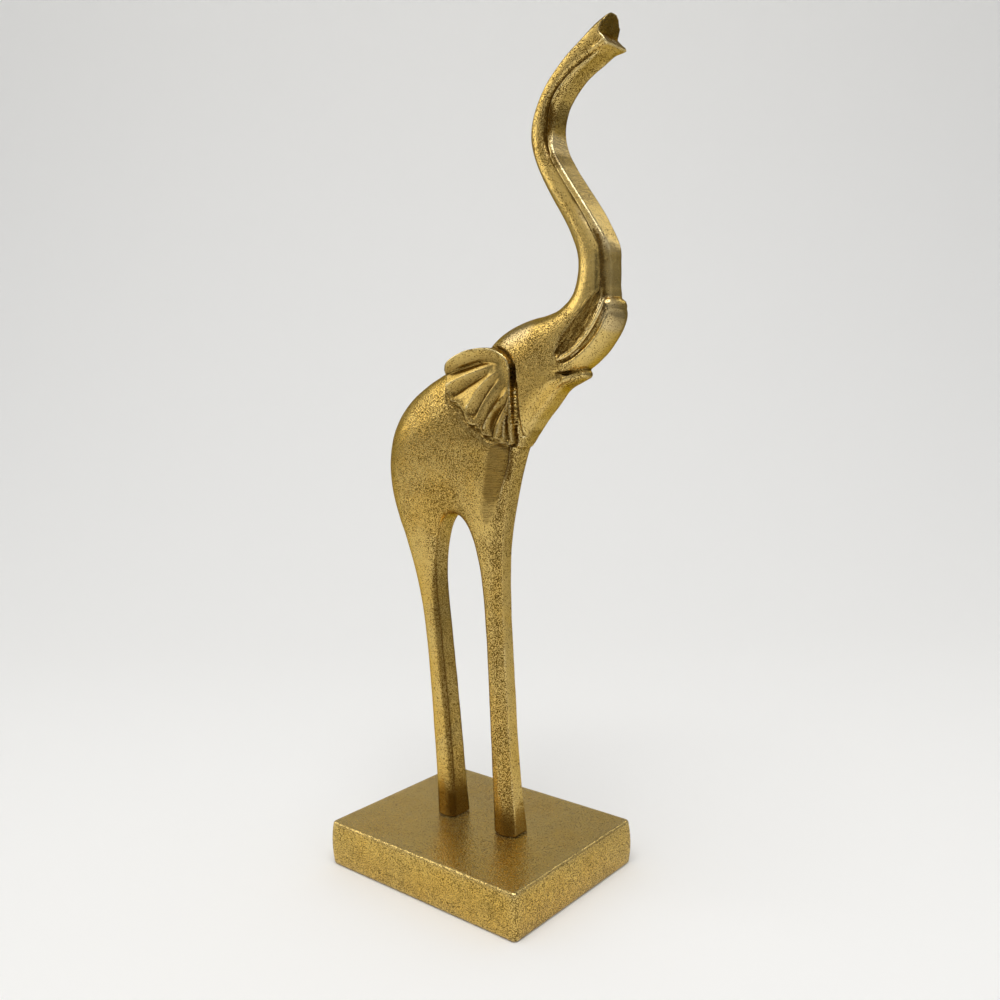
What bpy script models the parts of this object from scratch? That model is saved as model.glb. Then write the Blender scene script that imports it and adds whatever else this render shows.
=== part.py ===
"""Tall cast-aluminium elephant with its trunk raised, standing on a rectangular foot plate.

The elephant faces +X and is the same on both sides of the plane y = 0.  The foot plate lies on
z = 0 with its middle at the origin.  Dimensions are named in millimetres and turned into metres
when a mesh is written.
"""
import math

import bmesh
import bpy
from mathutils import Vector

MM = 0.001

# Foot plate
PLATE_LENGTH = 132.0
PLATE_WIDTH = 103.0
PLATE_HEIGHT = 24.5
PLATE_CORNER = 3.6
PLATE_EDGE = 1.4
PLATE_FULLNESS = 1.2
CORNER_STEPS = 5
EDGE_STEPS = 3
SIDE_STEPS = 4

# The feet stand this far above the plate, so that the two castings stay separate
SEAT_GAP = 0.3
FOOT_Z = PLATE_HEIGHT + SEAT_GAP

# Side outline of the hind half: (outer x, outer z, inner x, inner z), from the foot to the neck.
# The inner points run up the front of the hind leg to the crown of the arch, and then up the body.
HIND_HALF = [
    (-26.0, FOOT_Z, -12.6, FOOT_Z),
    (-27.0, 50.0, -14.4, 50.0),
    (-28.6, 75.0, -16.2, 75.0),
    (-30.2, 100.0, -18.4, 100.0),
    (-32.4, 125.0, -20.8, 125.0),
    (-35.3, 145.0, -22.8, 145.0),
    (-39.9, 163.0, -23.6, 162.0),
    (-45.4, 179.0, -21.8, 178.0),
    (-50.6, 192.0, -16.5, 189.2),
    (-54.6, 206.0, -8.5, 193.6),
    (-56.0, 220.0, -7.0, 200.0),
    (-54.0, 233.0, -5.0, 212.0),
    (-48.0, 244.8, -2.0, 226.0),
    (-38.6, 254.4, 3.0, 240.0),
    (-26.0, 262.4, 9.0, 251.0),
    (-10.0, 269.5, 15.0, 260.0),
    (6.0, 275.0, 20.0, 267.0),
]
ARCH_CROWN = 9

# Side outline of the fore half, inner points first; from the crown on they match the hind half
FORE_HALF = [
    (15.0, FOOT_Z, 29.4, FOOT_Z),
    (14.0, 50.0, 26.9, 50.0),
    (13.2, 75.0, 25.2, 75.0),
    (12.4, 100.0, 24.2, 100.0),
    (11.6, 125.0, 23.2, 125.0),
    (10.6, 145.0, 22.6, 145.0),
    (9.0, 162.0, 22.7, 163.0),
    (6.2, 177.0, 23.6, 180.0),
    (0.0, 189.0, 25.9, 195.0),
    (-8.5, 193.6, 28.7, 208.0),
    (-7.0, 200.0, 31.8, 218.0),
    (-5.0, 212.0, 35.6, 228.0),
    (-2.0, 226.0, 38.6, 234.0),
    (3.0, 240.0, 41.5, 238.5),
    (9.0, 251.0, 43.0, 243.0),
    (15.0, 260.0, 43.5, 249.0),
    (20.0, 267.0, 41.0, 256.0),
]

# Half thickness of legs and body by height: (z, half thickness, rounding depth, flat half width)
THICKNESS = [
    (FOOT_Z, 8.2, 5.5, 4.6),
    (45.0, 7.7, 5.4, 3.8),
    (100.0, 7.4, 5.6, 3.4),
    (150.0, 7.6, 5.8, 3.4),
    (180.0, 9.0, 7.5, 3.6),
    (205.0, 11.6, 14.5, 3.6),
    (230.0, 12.8, 23.0, 3.0),
    (255.0, 12.2, 25.0, 3.0),
    (280.0, 10.5, 19.0, 3.0),
]

LEG_STEPS = 2
ROUNDING_LIMIT = 0.45
TURN_STEPS = 4
MIDDLE_COLUMNS = 3


def catmull_rom(points, steps):
    """Run a smooth curve through points of any dimension, with so many steps to a span."""
    padded = [points[0]] + list(points) + [points[-1]]
    curve = []
    for i in range(1, len(padded) - 2):
        p0, p1, p2, p3 = padded[i - 1:i + 3]
        for k in range(steps):
            t = k / steps
            curve.append(tuple(
                0.5 * (2 * b + (c - a) * t + (2 * a - 5 * b + 4 * c - d) * t * t
                       + (3 * b - a - 3 * c + d) * t ** 3)
                for a, b, c, d in zip(p0, p1, p2, p3)))
    curve.append(tuple(float(v) for v in points[-1]))
    return curve


def read_table(table, key):
    """Read the values at key from rows whose first entry rises, between rows in a straight line."""
    if key <= table[0][0]:
        return table[0][1:]
    for low, high in zip(table, table[1:]):
        if key <= high[0]:
            t = (key - low[0]) / (high[0] - low[0])
            return tuple(a + (b - a) * t for a, b in zip(low[1:], high[1:]))
    return table[-1][1:]


def distance_to_line(x, z, line):
    """Shortest distance from a point of the side view to an open line of points."""
    best = 1e9
    for (ax, az), (bx, bz) in zip(line, line[1:]):
        dx, dz = bx - ax, bz - az
        length2 = dx * dx + dz * dz or 1e-9
        t = max(0.0, min(1.0, ((x - ax) * dx + (z - az) * dz) / length2))
        best = min(best, math.hypot(x - ax - t * dx, z - az - t * dz))
    return best


# Trunk, from inside the head to past the tip: (back x, back z, front x, front z, roll half width,
# groove half width, flange half width, face half width)
TRUNK = [
    (62.0, 294.0, 80.0, 286.0, 4.0, 3.6, 3.6, 3.0),
    (67.6, 301.0, 90.4, 297.0, 7.2, 5.4, 6.4, 5.4),
    (71.0, 309.0, 91.2, 306.0, 7.8, 5.6, 8.2, 5.4),
    (72.0, 316.5, 91.3, 315.0, 7.8, 5.7, 8.2, 5.6),
    (70.8, 324.0, 90.0, 324.5, 7.8, 6.0, 8.2, 6.4),
    (66.9, 333.0, 81.6, 338.8, 7.8, 6.9, 8.2, 7.6),
    (61.0, 343.0, 73.7, 350.4, 7.8, 7.7, 8.0, 7.4),
    (54.0, 354.8, 66.2, 361.4, 7.8, 7.7, 8.0, 7.4),
    (48.6, 366.2, 61.6, 370.0, 7.8, 7.0, 7.8, 7.0),
    (46.0, 378.0, 60.6, 378.0, 7.8, 6.0, 7.3, 3.4),
    (48.6, 389.0, 61.6, 385.8, 7.8, 6.0, 7.3, 2.8),
    (55.4, 400.0, 65.2, 393.2, 7.8, 6.2, 7.4, 2.8),
    (64.8, 408.6, 72.2, 400.4, 7.8, 6.4, 7.6, 3.0),
    (75.0, 415.6, 81.2, 405.2, 7.7, 6.8, 8.0, 4.4),
    (84.4, 421.6, 92.0, 409.0, 7.3, 7.4, 9.4, 8.2),
    (93.5, 425.2, 101.0, 412.5, 6.2, 8.0, 10.2, 9.4),
]
TRUNK_STEPS = 3

# Section of the trunk, with places as shares of its depth from back to front
GROOVE_PLACE = 0.79
GROOVE_SIDE = 0.02
ROLL_REACH = 0.43
ROLL_TURN = 132.0
ROLL_FULLNESS = 0.85
ROLL_STEPS = 6
FLANGE_SWELL = 0.35
FACE_EDGE = 0.965
FACE_ROUND = 0.995
FACE_ROUND_WIDTH = 0.8

# The mouth of the trunk: a notch between its upper finger and its flared lip, in the side view
NOTCH = [(87.6, 414.4), (91.2, 424.2), (94.5, 434.0), (112.0, 434.0), (112.0, 404.0), (92.0, 409.8)]
NOTCH_HALF_WIDTH = 20.0

# Skull from the neck to the root of the trunk: (back x, back z, front x, front z, half width)
SKULL = [
    (4.0, 262.0, 34.5, 231.5, 8.5),
    (14.0, 276.5, 43.4, 239.6, 10.4),
    (20.8, 283.6, 50.0, 245.6, 10.8),
    (29.0, 288.4, 55.8, 251.6, 10.8),
    (37.0, 291.2, 61.2, 258.0, 10.6),
    (45.0, 293.1, 65.0, 264.2, 10.2),
    (52.6, 294.2, 69.4, 270.8, 9.8),
    (60.0, 296.2, 75.0, 277.6, 9.2),
    (66.0, 300.0, 80.8, 285.0, 8.5),
    (70.6, 304.4, 84.6, 293.0, 7.3),
    (74.0, 307.6, 86.0, 299.0, 5.6),
]
SKULL_BACK_SQUARENESS = 2.3
SKULL_FRONT_SQUARENESS = 4.2

# Snout in front of the tusks, up to the step below the trunk: (x, z, half depth, half width)
SNOUT = [
    (58.0, 264.0, 3.2, 7.0),
    (65.4, 269.0, 4.6, 9.3),
    (73.4, 274.2, 6.0, 9.7),
    (80.4, 280.0, 6.2, 9.7),
    (85.6, 286.4, 6.2, 9.6),
    (88.4, 292.4, 6.2, 9.2),
    (89.6, 297.0, 5.0, 8.6),
    (90.4, 299.0, 3.6, 7.6),
]

# Lower lip: (x, z, half depth, half width)
LIP = [
    (54.0, 260.0, 4.0, 8.6),
    (61.5, 262.0, 3.2, 9.0),
    (67.0, 262.9, 2.2, 7.8),
    (72.0, 263.6, 1.5, 5.6),
    (75.4, 264.3, 1.1, 3.2),
    (76.8, 264.5, 0.8, 1.8),
]
TUBE_STEPS = 2
RING_SIDES = 20

# Tusks, thin ridges along the widest line of the snout: (x, y, z)
TUSK_LINE = [
    (65.5, -9.8, 272.8),
    (73.0, -10.0, 275.6),
    (80.4, -10.1, 280.8),
    (86.0, -10.0, 287.1),
    (89.2, -9.6, 293.4),
    (90.0, -9.0, 297.4),
]
TUSK_RADIUS = 0.9

# Hollow between each tusk and the trunk: (x, z, half depth, half width), about a line beside the head
HOLLOW = [
    (62.4, 274.4, 0.6, 2.6),
    (69.6, 279.8, 3.0, 4.6),
    (76.6, 285.6, 4.2, 5.6),
    (82.4, 291.4, 4.0, 5.6),
    (87.2, 298.4, 2.2, 4.8),
    (89.4, 304.0, 0.8, 3.0),
]
HOLLOW_SIDE = 12.0

SNOUT_SQUARENESS = 2.4
LIP_SQUARENESS = 2.2
HOLLOW_SQUARENESS = 2.0

# Ear: a pleated fan hung from a root at its upper front corner
EAR_ROOT = (33.0, 271.0)
EAR_SIDE = 11.4
EAR_SPREAD = 1.6
EAR_INSIDE = 6.0
EAR_RINGS = 6
EAR_STEPS = 2
RIM_ROLL = 1.8
RIM_DISH = 1.4
RIM_START = 0.6
LIFT_POWER = 0.7

# Edge of the ear about its root: (degrees down from straight back, reach, lift of the pleats there,
# share of the rolled rim).  It runs down the fan, up the front edge and back over the rim.
EAR_EDGE = [
    (2.0, 38.5, 0.9, 0.9),
    (8.0, 37.8, 1.8, 0.4),
    (14.5, 37.8, 2.6, 0.0),
    (21.8, 38.6, 1.0, 0.0),
    (26.0, 37.6, 0.2, 0.0),
    (33.0, 35.2, 1.6, 0.0),
    (42.0, 33.6, 2.4, 0.0),
    (51.0, 36.6, 1.0, 0.0),
    (56.7, 37.3, 0.2, 0.0),
    (62.0, 37.0, 1.0, 0.0),
    (67.4, 37.6, 1.9, 0.0),
    (71.5, 37.9, 1.0, 0.0),
    (74.6, 37.6, -0.5, 0.0),
    (79.0, 37.8, 0.6, 0.0),
    (83.0, 38.4, 1.0, 0.0),
    (86.7, 38.9, -0.9, 0.0),
    (90.0, 39.6, -0.6, 0.0),
    (94.2, 40.4, -2.6, 0.0),
    (97.0, 39.2, -3.2, 0.0),
    (99.4, 34.5, -2.6, 0.0),
    (102.0, 27.2, -1.8, 0.0),
    (107.5, 19.9, -0.9, 0.0),
    (115.0, 13.2, -0.5, 0.0),
    (135.0, 7.1, -0.2, 0.2),
    (172.0, 4.4, 0.0, 0.5),
    (227.0, 4.4, 0.0, 1.0),
    (267.0, 5.6, 0.0, 1.0),
    (296.0, 8.5, 0.0, 1.0),
    (317.4, 13.4, 0.0, 1.0),
    (330.0, 18.0, 0.0, 1.0),
    (338.2, 23.0, 0.0, 1.0),
    (344.9, 27.8, 0.2, 1.0),
    (351.9, 33.6, 0.5, 1.0),
    (357.0, 37.3, 0.7, 1.0),
]

SHARP_ANGLE = 38.0


def collection(name):
    """Make a collection and hang it in the scene."""
    made = bpy.data.collections.new(name)
    bpy.context.scene.collection.children.link(made)
    return made


def metal(name, colour, roughness):
    """Cast metal with a gilt lacquer."""
    made = bpy.data.materials.new(name)
    made.use_nodes = True
    shader = made.node_tree.nodes["Principled BSDF"]
    shader.inputs["Base Color"].default_value = (*colour, 1.0)
    shader.inputs["Roughness"].default_value = roughness
    shader.inputs["Metallic"].default_value = 1.0
    return made


def object_from(name, mesh_data, target, material=None):
    """Turn a bmesh in millimetres into an object in metres, cleaned and facing out."""
    bmesh.ops.remove_doubles(mesh_data, verts=mesh_data.verts, dist=0.01)
    bmesh.ops.dissolve_degenerate(mesh_data, edges=mesh_data.edges, dist=0.01)
    bmesh.ops.recalc_face_normals(mesh_data, faces=mesh_data.faces)
    bmesh.ops.scale(mesh_data, vec=(MM, MM, MM), verts=mesh_data.verts)
    mesh = bpy.data.meshes.new(name)
    mesh_data.to_mesh(mesh)
    mesh_data.free()
    mesh.shade_smooth()
    mesh.set_sharp_from_angle(angle=math.radians(SHARP_ANGLE))
    made = bpy.data.objects.new(name, mesh)
    target.objects.link(made)
    if material:
        mesh.materials.append(material)
    return made


def skin_rows(mesh_data, rows, closed=False):
    """Lay quads between rows of points, and across each row's ends when it is closed."""
    grid = [[mesh_data.verts.new(p) for p in row] for row in rows]
    for low, high in zip(grid, grid[1:]):
        count = len(low)
        for k in range(count if closed else count - 1):
            n = (k + 1) % count
            mesh_data.faces.new((low[k], low[n], high[n], high[k]))
    return grid


def body_outlines():
    """Smooth side outlines: the rows of both halves, and the lines that bound the body."""
    hind, fore = catmull_rom(HIND_HALF, LEG_STEPS), catmull_rom(FORE_HALF, LEG_STEPS)
    crown = ARCH_CROWN * LEG_STEPS
    arch = catmull_rom([row[2:] for row in HIND_HALF[:ARCH_CROWN + 1]]
                       + [row[:2] for row in FORE_HALF[ARCH_CROWN - 1::-1]], LEG_STEPS)
    middle = catmull_rom([row[2:] for row in HIND_HALF[ARCH_CROWN:]], LEG_STEPS)
    for i in range(len(hind)):
        # Below the crown each half ends on its side of the arch, above it both end on one line
        behind, before = (arch[i], arch[-1 - i]) if i <= crown else (middle[i - crown],) * 2
        hind[i] = (*hind[i][:2], *behind)
        fore[i] = (*before, *fore[i][2:])
    lines = [
        [(r[0], r[1]) for r in hind],
        [(r[2], r[3]) for r in hind[:crown + 1]],
        [(r[0], r[1]) for r in fore[:crown + 1]],
        [(r[2], r[3]) for r in fore],
        [(hind[-1][0], hind[-1][1]), (hind[-1][2], hind[-1][3]), (fore[-1][2], fore[-1][3])],
    ]
    return hind, fore, lines


def body_side(x, z, lines):
    """Half thickness of the body at a point of the side view, rounded towards its outline."""
    thick, rounding, flat = read_table(THICKNESS, z)
    inset = min(1.0, min(distance_to_line(x, z, line) for line in lines) / rounding)
    return flat + (thick - flat) * math.sqrt(1.0 - (1.0 - inset) ** 2)


def body_row(row, lines):
    """Points of the near skin across one half of the body, from its outer to its inner line."""
    x0, z0, x1, z1 = row
    width = math.hypot(x1 - x0, z1 - z0)
    rounding = min(read_table(THICKNESS, 0.5 * (z0 + z1))[1], ROUNDING_LIMIT * width)
    turn = [rounding * (1 - math.cos(math.radians(90.0 * k / TURN_STEPS))) / width
            for k in range(TURN_STEPS + 1)]
    first, last = turn[-1], 1 - turn[-1]
    middle = [first + (last - first) * (k + 1) / (MIDDLE_COLUMNS + 1) for k in range(MIDDLE_COLUMNS)]
    points = [(x0, 0.0, z0)]
    for t in turn + middle + [1 - t for t in reversed(turn)]:
        x, z = x0 + (x1 - x0) * t, z0 + (z1 - z0) * t
        points.append((x, -body_side(x, z, lines), z))
    points.append((x1, 0.0, z1))
    return points


def add_body(target):
    """Legs and body: a near skin drawn between the side outlines, mirrored across y = 0."""
    hind, fore, lines = body_outlines()
    crown = ARCH_CROWN * LEG_STEPS
    shell = bmesh.new()
    for half, inner_end in ((hind, -1), (fore, 0)):
        rows = [body_row(row, lines) for row in half]
        legs, torso = rows[:crown + 1], [list(row) for row in rows[crown:]]
        # Above the arch the inner line is in the middle of the body, and has no rim to close
        for row in torso:
            del row[inner_end]
        sole = [(x, 0.0, z) for x, y, z in legs[0]]
        neck = [(x, 0.0, z) for x, y, z in torso[-1]]
        skin_rows(shell, [sole] + legs)
        skin_rows(shell, torso + [neck])
    made = object_from("body", shell, target)
    mirror = made.modifiers.new("two sides", 'MIRROR')
    mirror.use_axis = (False, True, False)
    mirror.merge_threshold = 0.00005
    return made


def trunk_section(roll, groove, flange, face):
    """Half section of the trunk as (place from back to front, half width)."""
    points = [(0.0, 0.0)]
    for k in range(1, ROLL_STEPS):
        angle = math.radians(ROLL_TURN * k / ROLL_STEPS)
        points.append((ROLL_REACH * (1 - math.cos(angle)), roll * math.sin(angle) ** ROLL_FULLNESS))
    points.append((GROOVE_PLACE - GROOVE_SIDE, groove))
    points.append((GROOVE_PLACE + GROOVE_SIDE, flange))
    points.append((0.5 * (GROOVE_PLACE + 1.0), 0.5 * (flange + face) + FLANGE_SWELL))
    points.append((FACE_EDGE, face))
    points.append((FACE_ROUND, face * FACE_ROUND_WIDTH))
    points.append((1.0, 0.0))
    return points


def add_trunk(target):
    """Trunk: a round back roll and a flat-faced front flange, with a groove between them."""
    shell = bmesh.new()
    rows = []
    for bx, bz, fx, fz, roll, groove, flange, face in catmull_rom(TRUNK, TRUNK_STEPS):
        section = trunk_section(roll, groove, flange, face)
        ring = [(bx + (fx - bx) * q, -w, bz + (fz - bz) * q) for q, w in section]
        ring += [(bx + (fx - bx) * q, w, bz + (fz - bz) * q) for q, w in section[-2:0:-1]]
        rows.append(ring)
    grid = skin_rows(shell, rows, closed=True)
    shell.faces.new(grid[0])
    shell.faces.new(grid[-1])
    return object_from("trunk", shell, target)


def ring_between(back, front, half_width, back_squareness, front_squareness, side=0.0):
    """Closed ring on a line between two points of the side view, as a squared ellipse."""
    mx, mz = 0.5 * (back[0] + front[0]), 0.5 * (back[1] + front[1])
    ring = []
    for k in range(RING_SIDES):
        angle = 2 * math.pi * k / RING_SIDES
        c, s = math.cos(angle), math.sin(angle)
        squareness = front_squareness if c > 0 else back_squareness
        c = math.copysign(abs(c) ** (2 / squareness), c)
        s = math.copysign(abs(s) ** (2 / squareness), s)
        ring.append((mx + (front[0] - mx) * c, side + half_width * s, mz + (front[1] - mz) * c))
    return ring


def add_rings(name, rings, target):
    """Closed form through a row of rings."""
    shell = bmesh.new()
    grid = skin_rows(shell, rings, closed=True)
    shell.faces.new(grid[0])
    shell.faces.new(grid[-1])
    return object_from(name, shell, target)


def add_skull(target):
    """Skull, from inside the neck to inside the root of the trunk."""
    rings = [ring_between((bx, bz), (fx, fz), width, SKULL_BACK_SQUARENESS, SKULL_FRONT_SQUARENESS)
             for bx, bz, fx, fz, width in catmull_rom(SKULL, TUBE_STEPS)]
    return add_rings("skull", rings, target)


def add_spine_form(name, stations, squareness, target, side=0.0):
    """Closed form along a line of stations (x, z, half depth, half width), at a distance to one side."""
    path = catmull_rom(stations, TUBE_STEPS)
    rings = []
    for i, (x, z, depth, width) in enumerate(path):
        before, after = path[max(i - 1, 0)], path[min(i + 1, len(path) - 1)]
        along = Vector((after[0] - before[0], after[1] - before[1])).normalized()
        across = (along.y * depth, -along.x * depth)
        rings.append(ring_between((x - across[0], z - across[1]), (x + across[0], z + across[1]),
                                  width, squareness, squareness, side))
    return add_rings(name, rings, target)


def add_tusk(side, target):
    """One tusk: a thin rounded ridge along the side of the snout."""
    path = catmull_rom(TUSK_LINE, TUBE_STEPS)
    curve = bpy.data.curves.new("tusk line", 'CURVE')
    curve.dimensions = '3D'
    curve.bevel_depth = TUSK_RADIUS * MM
    curve.bevel_resolution = 1
    curve.use_fill_caps = True
    spline = curve.splines.new('POLY')
    spline.points.add(len(path) - 1)
    for point, (x, y, z) in zip(spline.points, path):
        point.co = (x * MM, y * side * MM, z * MM, 1.0)
    rod = bpy.data.objects.new("tusk line", curve)
    target.objects.link(rod)
    bpy.context.view_layer.update()
    mesh = bpy.data.meshes.new_from_object(rod.evaluated_get(bpy.context.evaluated_depsgraph_get()))
    bpy.data.objects.remove(rod)
    shell = bmesh.new()
    shell.from_mesh(mesh)
    bpy.data.meshes.remove(mesh)
    bmesh.ops.scale(shell, vec=(1 / MM, 1 / MM, 1 / MM), verts=shell.verts)
    return object_from("tusk", shell, target)


def ear_height(share, lift, rim):
    """How far the ear stands out from the head at a share of the way from its root to its edge."""
    rolled = RIM_ROLL * max(0.0, share - RIM_START) / (1 - RIM_START)
    dished = RIM_DISH * math.sin(math.pi * share)
    spread = EAR_SPREAD * share + lift * share ** LIFT_POWER
    return EAR_SIDE + spread + rim * (rolled - dished)


def add_ear(side, target):
    """One ear: rings of points about its root, on an outer face and on a flat one inside the head."""
    shell = bmesh.new()
    first = EAR_EDGE[0]
    edge = catmull_rom(EAR_EDGE + [(first[0] + 360.0, *first[1:])], EAR_STEPS)[:-1]
    spokes = len(edge)

    def point(angle, reach, y):
        turn = math.radians(angle)
        return shell.verts.new((EAR_ROOT[0] - reach * math.cos(turn), -side * y,
                                EAR_ROOT[1] - reach * math.sin(turn)))

    centre = point(0.0, 0.0, EAR_SIDE)
    inside = point(0.0, 0.0, EAR_INSIDE)
    rings = []
    for ring in range(1, EAR_RINGS + 1):
        share = ring / EAR_RINGS
        rings.append([point(angle, reach * share, ear_height(share, lift, rim))
                      for angle, reach, lift, rim in edge])
    rings.append([point(angle, reach, EAR_INSIDE) for angle, reach, lift, rim in edge])
    for k in range(spokes):
        n = (k + 1) % spokes
        shell.faces.new((centre, rings[0][k], rings[0][n]))
        for low, high in zip(rings, rings[1:]):
            shell.faces.new((low[k], high[k], high[n], low[n]))
        shell.faces.new((inside, rings[-1][n], rings[-1][k]))
    return object_from("ear", shell, target)


def add_notch(target):
    """Cutter for the mouth of the trunk: a wedge right through it, from side to side."""
    shell = bmesh.new()
    for y in (-NOTCH_HALF_WIDTH, NOTCH_HALF_WIDTH):
        shell.faces.new([shell.verts.new((x, y, z)) for x, z in NOTCH])
    near, far = [list(face.verts) for face in shell.faces]
    for k in range(len(near)):
        n = (k + 1) % len(near)
        shell.faces.new((near[k], near[n], far[n], far[k]))
    return object_from("notch", shell, target)


def join(whole, other, operation):
    """Join another closed form to the whole, or cut it away."""
    other.hide_render = True
    other.display_type = 'WIRE'
    change = whole.modifiers.new(other.name, 'BOOLEAN')
    change.operation = operation
    change.solver = 'EXACT'
    change.object = other


def add_elephant(parts, cutters, material):
    """The whole animal as one casting."""
    elephant = add_body(parts)
    elephant.name = elephant.data.name = "elephant"
    elephant.data.materials.append(material)
    trunk = add_trunk(cutters)
    join(trunk, add_notch(cutters), 'DIFFERENCE')
    join(elephant, trunk, 'UNION')
    join(elephant, add_skull(cutters), 'UNION')
    join(elephant, add_spine_form("snout", SNOUT, SNOUT_SQUARENESS, cutters), 'UNION')
    join(elephant, add_spine_form("lip", LIP, LIP_SQUARENESS, cutters), 'UNION')
    for side in (1.0, -1.0):
        hollow = add_spine_form("hollow", HOLLOW, HOLLOW_SQUARENESS, cutters, side * HOLLOW_SIDE)
        join(elephant, hollow, 'DIFFERENCE')
        join(elephant, add_tusk(side, cutters), 'UNION')
        join(elephant, add_ear(side, cutters), 'UNION')
    return elephant


def plate_ring(z, inset):
    """Rounded rectangle round the foot plate at one height."""
    ring = []
    for quarter in range(4):
        for k in range(CORNER_STEPS + 1):
            angle = math.radians(90.0 * (quarter + k / CORNER_STEPS))
            sx = 1 if quarter in (0, 3) else -1
            sy = 1 if quarter in (0, 1) else -1
            x = sx * (0.5 * PLATE_LENGTH - PLATE_CORNER) + (PLATE_CORNER - inset) * math.cos(angle)
            y = sy * (0.5 * PLATE_WIDTH - PLATE_CORNER) + (PLATE_CORNER - inset) * math.sin(angle)
            ring.append((x, y, z))
    return ring


def add_base(parts, material):
    """Foot plate with rounded corners, softened top and bottom edges and slightly full sides."""
    corner = [math.radians(90.0 * k / EDGE_STEPS) for k in range(EDGE_STEPS + 1)]
    foot = [(PLATE_EDGE * (1 - math.cos(a)), PLATE_EDGE * (1 - math.sin(a))) for a in corner]
    levels = foot + [(PLATE_HEIGHT * k / SIDE_STEPS, 0.0) for k in range(1, SIDE_STEPS)]
    levels += [(PLATE_HEIGHT - z, inset) for z, inset in reversed(foot)]
    shell = bmesh.new()
    rings = []
    for z, inset in levels:
        off_middle = 2.0 * z / PLATE_HEIGHT - 1.0
        rings.append(plate_ring(z, inset + PLATE_FULLNESS * off_middle ** 2))
    grid = skin_rows(shell, rings, closed=True)
    shell.faces.new(grid[0])
    shell.faces.new(grid[-1])
    return object_from("base", shell, parts, material)


def build():
    """Clear the scene and build the figurine."""
    for old in list(bpy.data.objects):
        bpy.data.objects.remove(old)
    parts = collection("elephant figurine")
    cutters = collection("cutters")
    gilt = metal("gilt cast metal", (0.60, 0.44, 0.17), 0.36)
    plate = metal("gilt plate metal", (0.58, 0.43, 0.17), 0.34)
    add_elephant(parts, cutters, gilt)
    add_base(parts, plate)


build()
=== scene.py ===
"""Looks of the raised-trunk elephant in gilt cast metal, dressed over its packed solids.

The animal's skin is grown from named side lines, widths and cuts as one closed mesh, and the foot
plate is lofted.  Sizes are in millimetres and turned into metres when a mesh is written.
"""
import sys
import logging
import math
from dataclasses import dataclass, field
from enum import Enum
from functools import cache
from itertools import product

import bpy
import numpy as np
from mathutils import Matrix, Vector


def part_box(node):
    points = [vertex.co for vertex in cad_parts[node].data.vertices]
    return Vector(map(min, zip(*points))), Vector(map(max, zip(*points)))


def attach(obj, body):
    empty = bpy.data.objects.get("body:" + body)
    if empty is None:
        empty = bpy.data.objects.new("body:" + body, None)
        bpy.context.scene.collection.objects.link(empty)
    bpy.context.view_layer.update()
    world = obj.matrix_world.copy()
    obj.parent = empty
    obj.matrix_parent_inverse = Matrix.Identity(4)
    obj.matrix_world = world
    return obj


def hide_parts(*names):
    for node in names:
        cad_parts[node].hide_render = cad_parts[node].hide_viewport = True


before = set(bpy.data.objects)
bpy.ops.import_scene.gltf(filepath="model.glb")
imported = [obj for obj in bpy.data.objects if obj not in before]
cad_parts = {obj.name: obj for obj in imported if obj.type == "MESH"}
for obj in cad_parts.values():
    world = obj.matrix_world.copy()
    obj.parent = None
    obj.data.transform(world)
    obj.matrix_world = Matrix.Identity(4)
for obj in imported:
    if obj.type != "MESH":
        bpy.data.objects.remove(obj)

MM = 0.001
FAR = 1.0e4
# corners of a cell
CORNERS = tuple(product((0, 1), repeat=3))
LOG = logging.getLogger("elephant")
Array = np.ndarray


# ---------------------------------------------------------------- curves and distances

def smooth_line(points: tuple, steps: int) -> Array:
    """Run a smooth curve through points of any dimension.

    Args:
        points: the points, each a tuple of numbers.
        steps: steps to a span.
    Returns:
        The curve's points, one row each.
    """
    pts = np.asarray(points, float)
    pad = np.vstack([pts[:1], pts, pts[-1:]])
    t = np.linspace(0.0, 1.0, steps, endpoint=False)[:, None]
    rows = [0.5 * (2 * b + (c - a) * t + (2 * a - 5 * b + 4 * c - d) * t ** 2
                   + (3 * b - a - 3 * c + d) * t ** 3)
            for a, b, c, d in zip(pad, pad[1:], pad[2:], pad[3:])]
    return np.vstack(rows + [pts[-1:]])


@dataclass
class Reach:
    """Where points of the side view stand beside a line: gap, place, side and way past an end."""

    gap: Array
    along: Array
    side: Array
    beyond: Array


def reach(line: Array, x: Array, z: Array) -> Reach:
    """Measure points of the side view against an open line.

    Args:
        line: the line's points as rows of x, z.
        x: places along the animal.
        z: heights.
    Returns:
        The distance, the place along the line in rows, +1 to its left or -1 to its right, and how
        far the point lies beyond either end.
    """
    best = np.full(x.shape, FAR * FAR)
    along, side = np.zeros(x.shape), np.zeros(x.shape)
    for i in range(len(line) - 1):
        ax, az = line[i]
        dx, dz = line[i + 1] - line[i]
        t = np.clip(((x - ax) * dx + (z - az) * dz) / (dx * dx + dz * dz), 0.0, 1.0)
        ex, ez = x - ax - t * dx, z - az - t * dz
        gap = ex * ex + ez * ez
        near = gap < best
        best = np.where(near, gap, best)
        along = np.where(near, i + t, along)
        side = np.where(near, dx * ez - dz * ex, side)
    first, last = line[1] - line[0], line[-1] - line[-2]
    first, last = first / np.hypot(*first), last / np.hypot(*last)
    low = -((x - line[0][0]) * first[0] + (z - line[0][1]) * first[1])
    high = (x - line[-1][0]) * last[0] + (z - line[-1][1]) * last[1]
    beyond = np.where(along <= 0.0, low, np.where(along >= len(line) - 1, high, -FAR))
    return Reach(np.sqrt(best), along, np.where(side < 0, -1.0, 1.0), beyond)


def read_along(values: Array, along: Array) -> Array:
    """Read a row of values at places along it, straight between rows."""
    return np.interp(along, np.arange(len(values)), values)


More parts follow.
